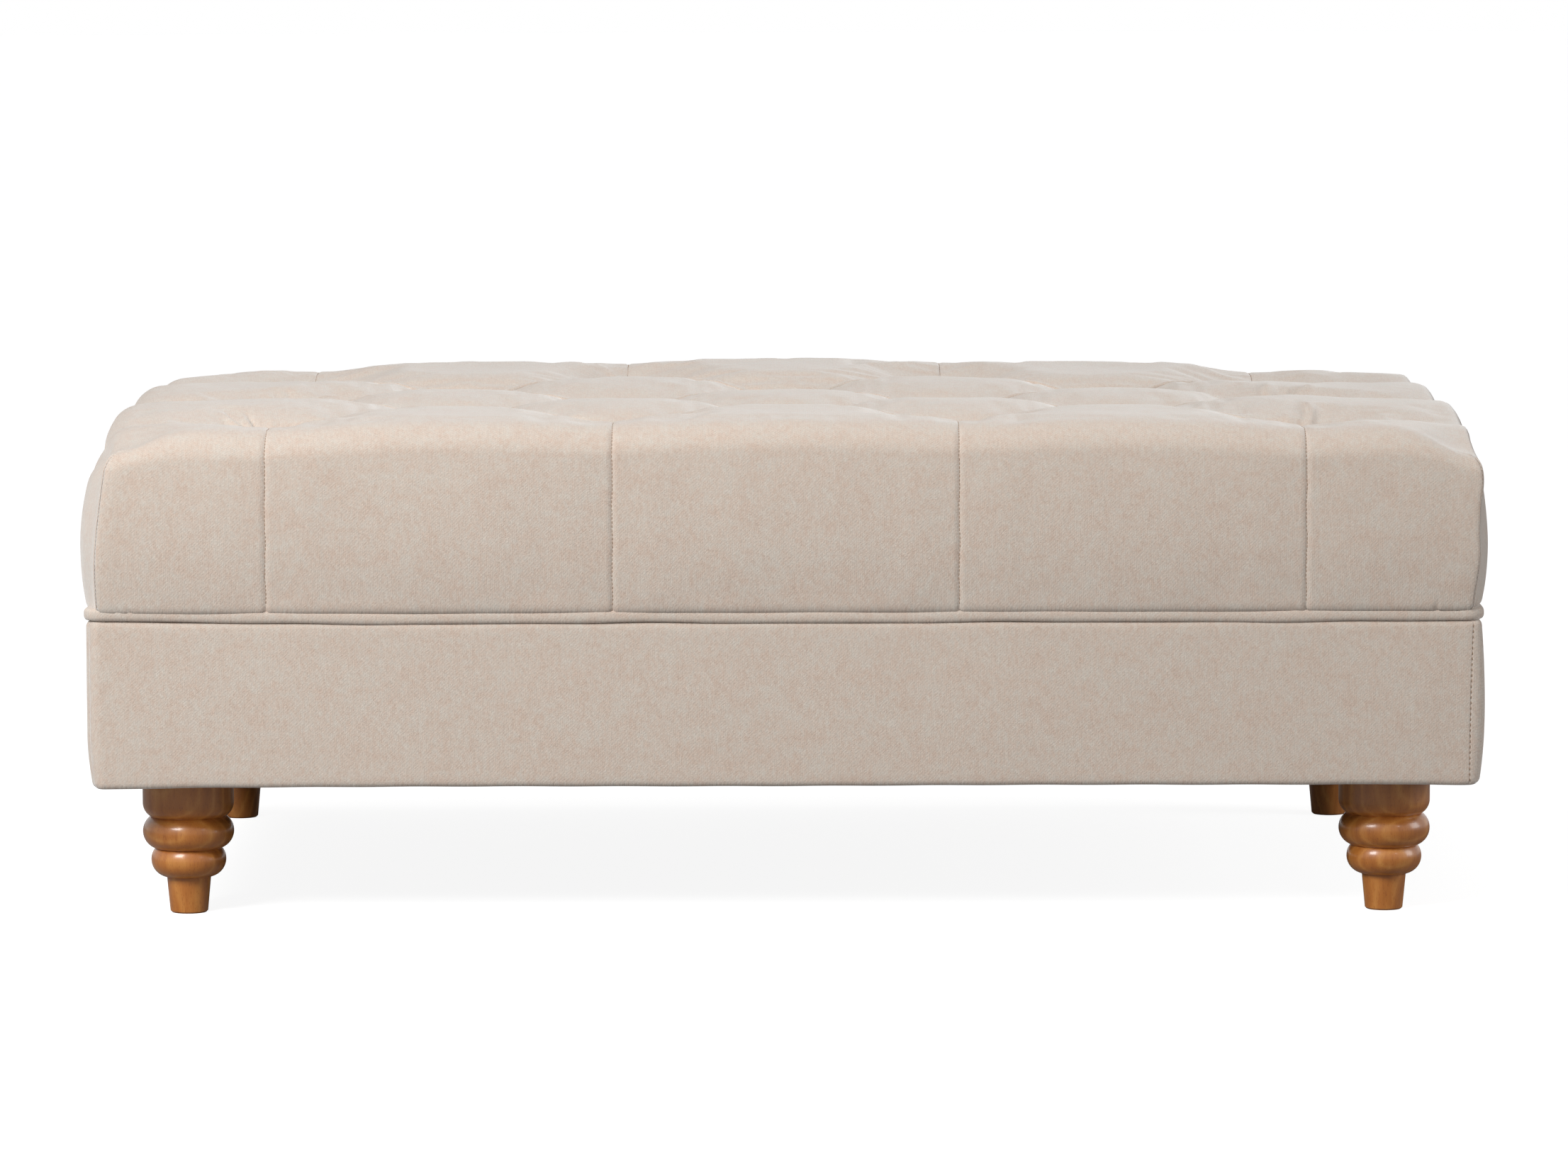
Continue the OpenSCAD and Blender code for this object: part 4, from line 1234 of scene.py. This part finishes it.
def make_base_wadding(runs):
    """The wadding under the base covers, which follows the cloth on its outside."""
    heights = np.linspace(BASE_LOW + WADDING_SHORT, BASE_TOP - WADDING_SHORT, WADDING_ROWS)
    inside = -CLOTH_T - WADDING_T
    section = [(-CLOTH_T - WADDING_GAP, height) for height in heights]
    section = np.array(section + [(inside, heights[-1]), (inside, heights[0])])
    points, faces = [], []
    for plan, ways in runs:
        first = sum(len(part) for part in points)
        faces += [[first + k for k in face] for face in sweep_faces(len(plan), len(section), False)]
        points.append(draped(plan, ways, section).reshape(-1, 3))
    piece = mesh_object("wadding_band", np.concatenate(points), faces)
    dress(piece, "wadding", "base_wadding")


def corner_arc(sx, sy, start, end):
    """Plan points and outward ways round a corner of the base, between two directions in degrees."""
    angles = np.radians(np.linspace(start, end, CORNER_STEPS))
    ways = np.column_stack([np.cos(angles), np.sin(angles)])
    centre = np.array([sx * (BASE_X - BASE_CORNER), sy * (BASE_Y - BASE_CORNER)])
    return centre + BASE_CORNER * ways, ways


def straight_run(start, end, way, count):
    """Plan points along a straight side, closer together towards its ends."""
    t = np.linspace(0, 1, count)
    t = (0.2 * t + 0.8 * (0.5 - 0.5 * np.cos(np.pi * t)))[:, None]
    return np.array(start) * (1 - t) + np.array(end) * t, np.tile(way, (count, 1)).astype(float)


def make_base_covers():
    """Front, rear and end covers; the seam at the front left lies round the corner, on the end."""
    run_x, run_y = BASE_X - BASE_CORNER, BASE_Y - BASE_CORNER
    seam = 180 + LEFT_SEAM_TURN
    front = straight_run((-run_x, -BASE_Y), (run_x, -BASE_Y), (0, -1), FACE_STEPS)
    right = straight_run((BASE_X, -run_y), (BASE_X, run_y), (1, 0), END_STEPS)
    rear = straight_run((run_x, BASE_Y), (-run_x, BASE_Y), (0, 1), FACE_STEPS)
    left = straight_run((-BASE_X, run_y), (-BASE_X, -run_y), (-1, 0), END_STEPS)
    sides = {
        "front": [corner_arc(-1, -1, seam, 270), front],
        "right": [corner_arc(1, -1, -90, 0), right, corner_arc(1, 1, 0, 90)],
        "rear": [rear],
        "left": [corner_arc(-1, 1, 90, 180), left, corner_arc(-1, -1, 180, seam)],
    }
    seams, runs = [], []
    for side, parts in sides.items():
        first, rest = parts[0], parts[1:]
        plan, ways = (np.concatenate([first[k]] + [part[k][1:] for part in rest]) for k in (0, 1))
        seams.append(make_base_cover(side, plan, ways))
        runs.append((plan, ways))
    make_base_wadding(runs)
    make_stitches("base_stitches", seams[1:], BASE_STITCH_PITCH)


# Covered buttons: cloth gathered over a shallow dome

BUTTON_RINGS = 8
BUTTON_SPOKES = 40
BUTTON_EDGE = 2 * MM
BUTTON_UNDERCUT = 0.8 * MM
BUTTON_GATHERS = 10
BUTTON_GATHER_H = 0.25 * MM


def make_buttons():
    points, faces = [], []
    for k, (bx, by) in enumerate(BUTTONS):
        seat = float(top_height(np.array([bx]), np.array([by]))[0]) - BUTTON_SEAT
        first = len(points)
        turns = [2 * math.pi * s / BUTTON_SPOKES for s in range(BUTTON_SPOKES)]
        points += [(*around((bx, by), BUTTON_D / 2 - BUTTON_UNDERCUT, turn), seat) for turn in turns]
        for ring in range(BUTTON_RINGS):
            angle = math.pi / 2 * ring / BUTTON_RINGS
            height = BUTTON_EDGE + (BUTTON_H - BUTTON_EDGE) * math.sin(angle)
            for turn in turns:
                gather = BUTTON_GATHER_H * math.sin(BUTTON_GATHERS * turn + k) * math.cos(angle) ** 2
                radius = BUTTON_D / 2 * math.cos(angle) + gather
                points.append((*around((bx, by), radius, turn), seat + height))
        index = first + np.arange((BUTTON_RINGS + 1) * BUTTON_SPOKES).reshape(-1, BUTTON_SPOKES)
        following = np.roll(index, -1, axis=1)
        quads = np.stack([index[:-1], following[:-1], following[1:], index[1:]], axis=-1)
        faces += quads.reshape(-1, 4).tolist() + [index[-1].tolist(), index[0][::-1].tolist()]
    piece = mesh_object("covered_buttons", np.array(points), faces)
    dress(piece, "cover_cloth", "seat_buttons")


# Studio: floor, lights and camera

FLOOR_R = 30.0
FLOOR_SIDES = 96


def make_floor():
    """A wide pale floor that keeps the contact shadow and is nearly white to the camera."""
    turns = [2 * math.pi * k / FLOOR_SIDES for k in range(FLOOR_SIDES)]
    points = np.array([(*around((0, 0), FLOOR_R, turn), 0) for turn in turns])
    floor = mesh_object("floor", points, [tuple(range(FLOOR_SIDES))])
    n = new_material("studio_floor")
    seen = n.node("ShaderNodeLightPath", output="Is Camera Ray")
    floor.data.materials.append(n.finish({
        "Base Color": (0.33, 0.33, 0.33),
        "Roughness": 0.9,
        "Specular IOR Level": 0.1,
        "Emission Color": (1, 1, 1),
        "Emission Strength": seen * 0.9,
    }))


def make_world():
    """White where the camera or a reflection sees it, and a dim warm dome for the light on the bench."""
    n = Nodes(bpy.data.worlds.new("studio"))
    camera, glossy, through = [n.node("ShaderNodeLightPath", output="Is %s Ray" % kind)
                               for kind in ("Camera", "Glossy", "Transmission")]
    seen = n.math("MAXIMUM", n.math("MAXIMUM", camera, glossy), through)
    dome = n.node("ShaderNodeBackground", {"Color": (1.0, 0.985, 0.97), "Strength": 0.19})
    white = n.node("ShaderNodeBackground", {"Color": (1, 1, 1), "Strength": 1.0})
    blend = n.node("ShaderNodeMixShader", {0: seen, 1: dome, 2: white})
    bpy.context.scene.world = n.finish({"Surface": blend}, "World Output")


# Name, place, what it points at, width, height and power of each lamp

LAMPS = [
    ("key_light", (-2.14, -3.17, 2.78), (0, 0, 0.3), 1.6, 1.5, 182),
    ("fill_light", (3.6, -0.6, 1.2), (0, 0, 0.25), 1.4, 1.4, 36),
    ("second_light", (3.2, -4.0, 2.7), (0, 0, 0.25), 0.4, 0.4, 8),
    ("top_light", (-1.4, 0.2, 3.0), (-0.2, 0, 0.4), 2.4, 2.0, 26),
]


def make_lamp(name, place, target, width, height, power):
    data = bpy.data.lights.new(name, "AREA")
    data.shape = "RECTANGLE"
    data.size, data.size_y = width, height
    data.energy = power
    lamp = add_object(name, data)
    lamp.location = place
    lamp.rotation_euler = (Vector(target) - Vector(place)).to_track_quat("-Z", "Y").to_euler()


# Camera: its place, and its turns in degrees

CAMERA_PLACE = (-0.0135, -6.6086, 0.9121)
CAMERA_DOWN = 5.7441
CAMERA_TURN = -0.109
CAMERA_ROLL = 0.1499
CAMERA_LENS = 169.155


def make_camera():
    data = bpy.data.cameras.new("camera")
    data.lens = CAMERA_LENS
    data.sensor_width = 36
    data.clip_end = 120
    camera = add_object("camera", data)
    turn = Matrix.Rotation(math.radians(CAMERA_TURN), 4, "Z")
    tilt = Matrix.Rotation(math.radians(90 - CAMERA_DOWN), 4, "X")
    level = Matrix.Rotation(math.radians(-CAMERA_ROLL), 4, "Z")
    camera.matrix_world = Matrix.Translation(CAMERA_PLACE) @ turn @ tilt @ level
    bpy.context.scene.camera = camera


make_camera()
finish_frame_nodes()
make_pad()
make_welt()
make_base_covers()
make_buttons()
make_floor()
make_world()
for lamp_values in LAMPS:
    make_lamp(*lamp_values)
bpy.context.scene.view_settings.view_transform = "Standard"
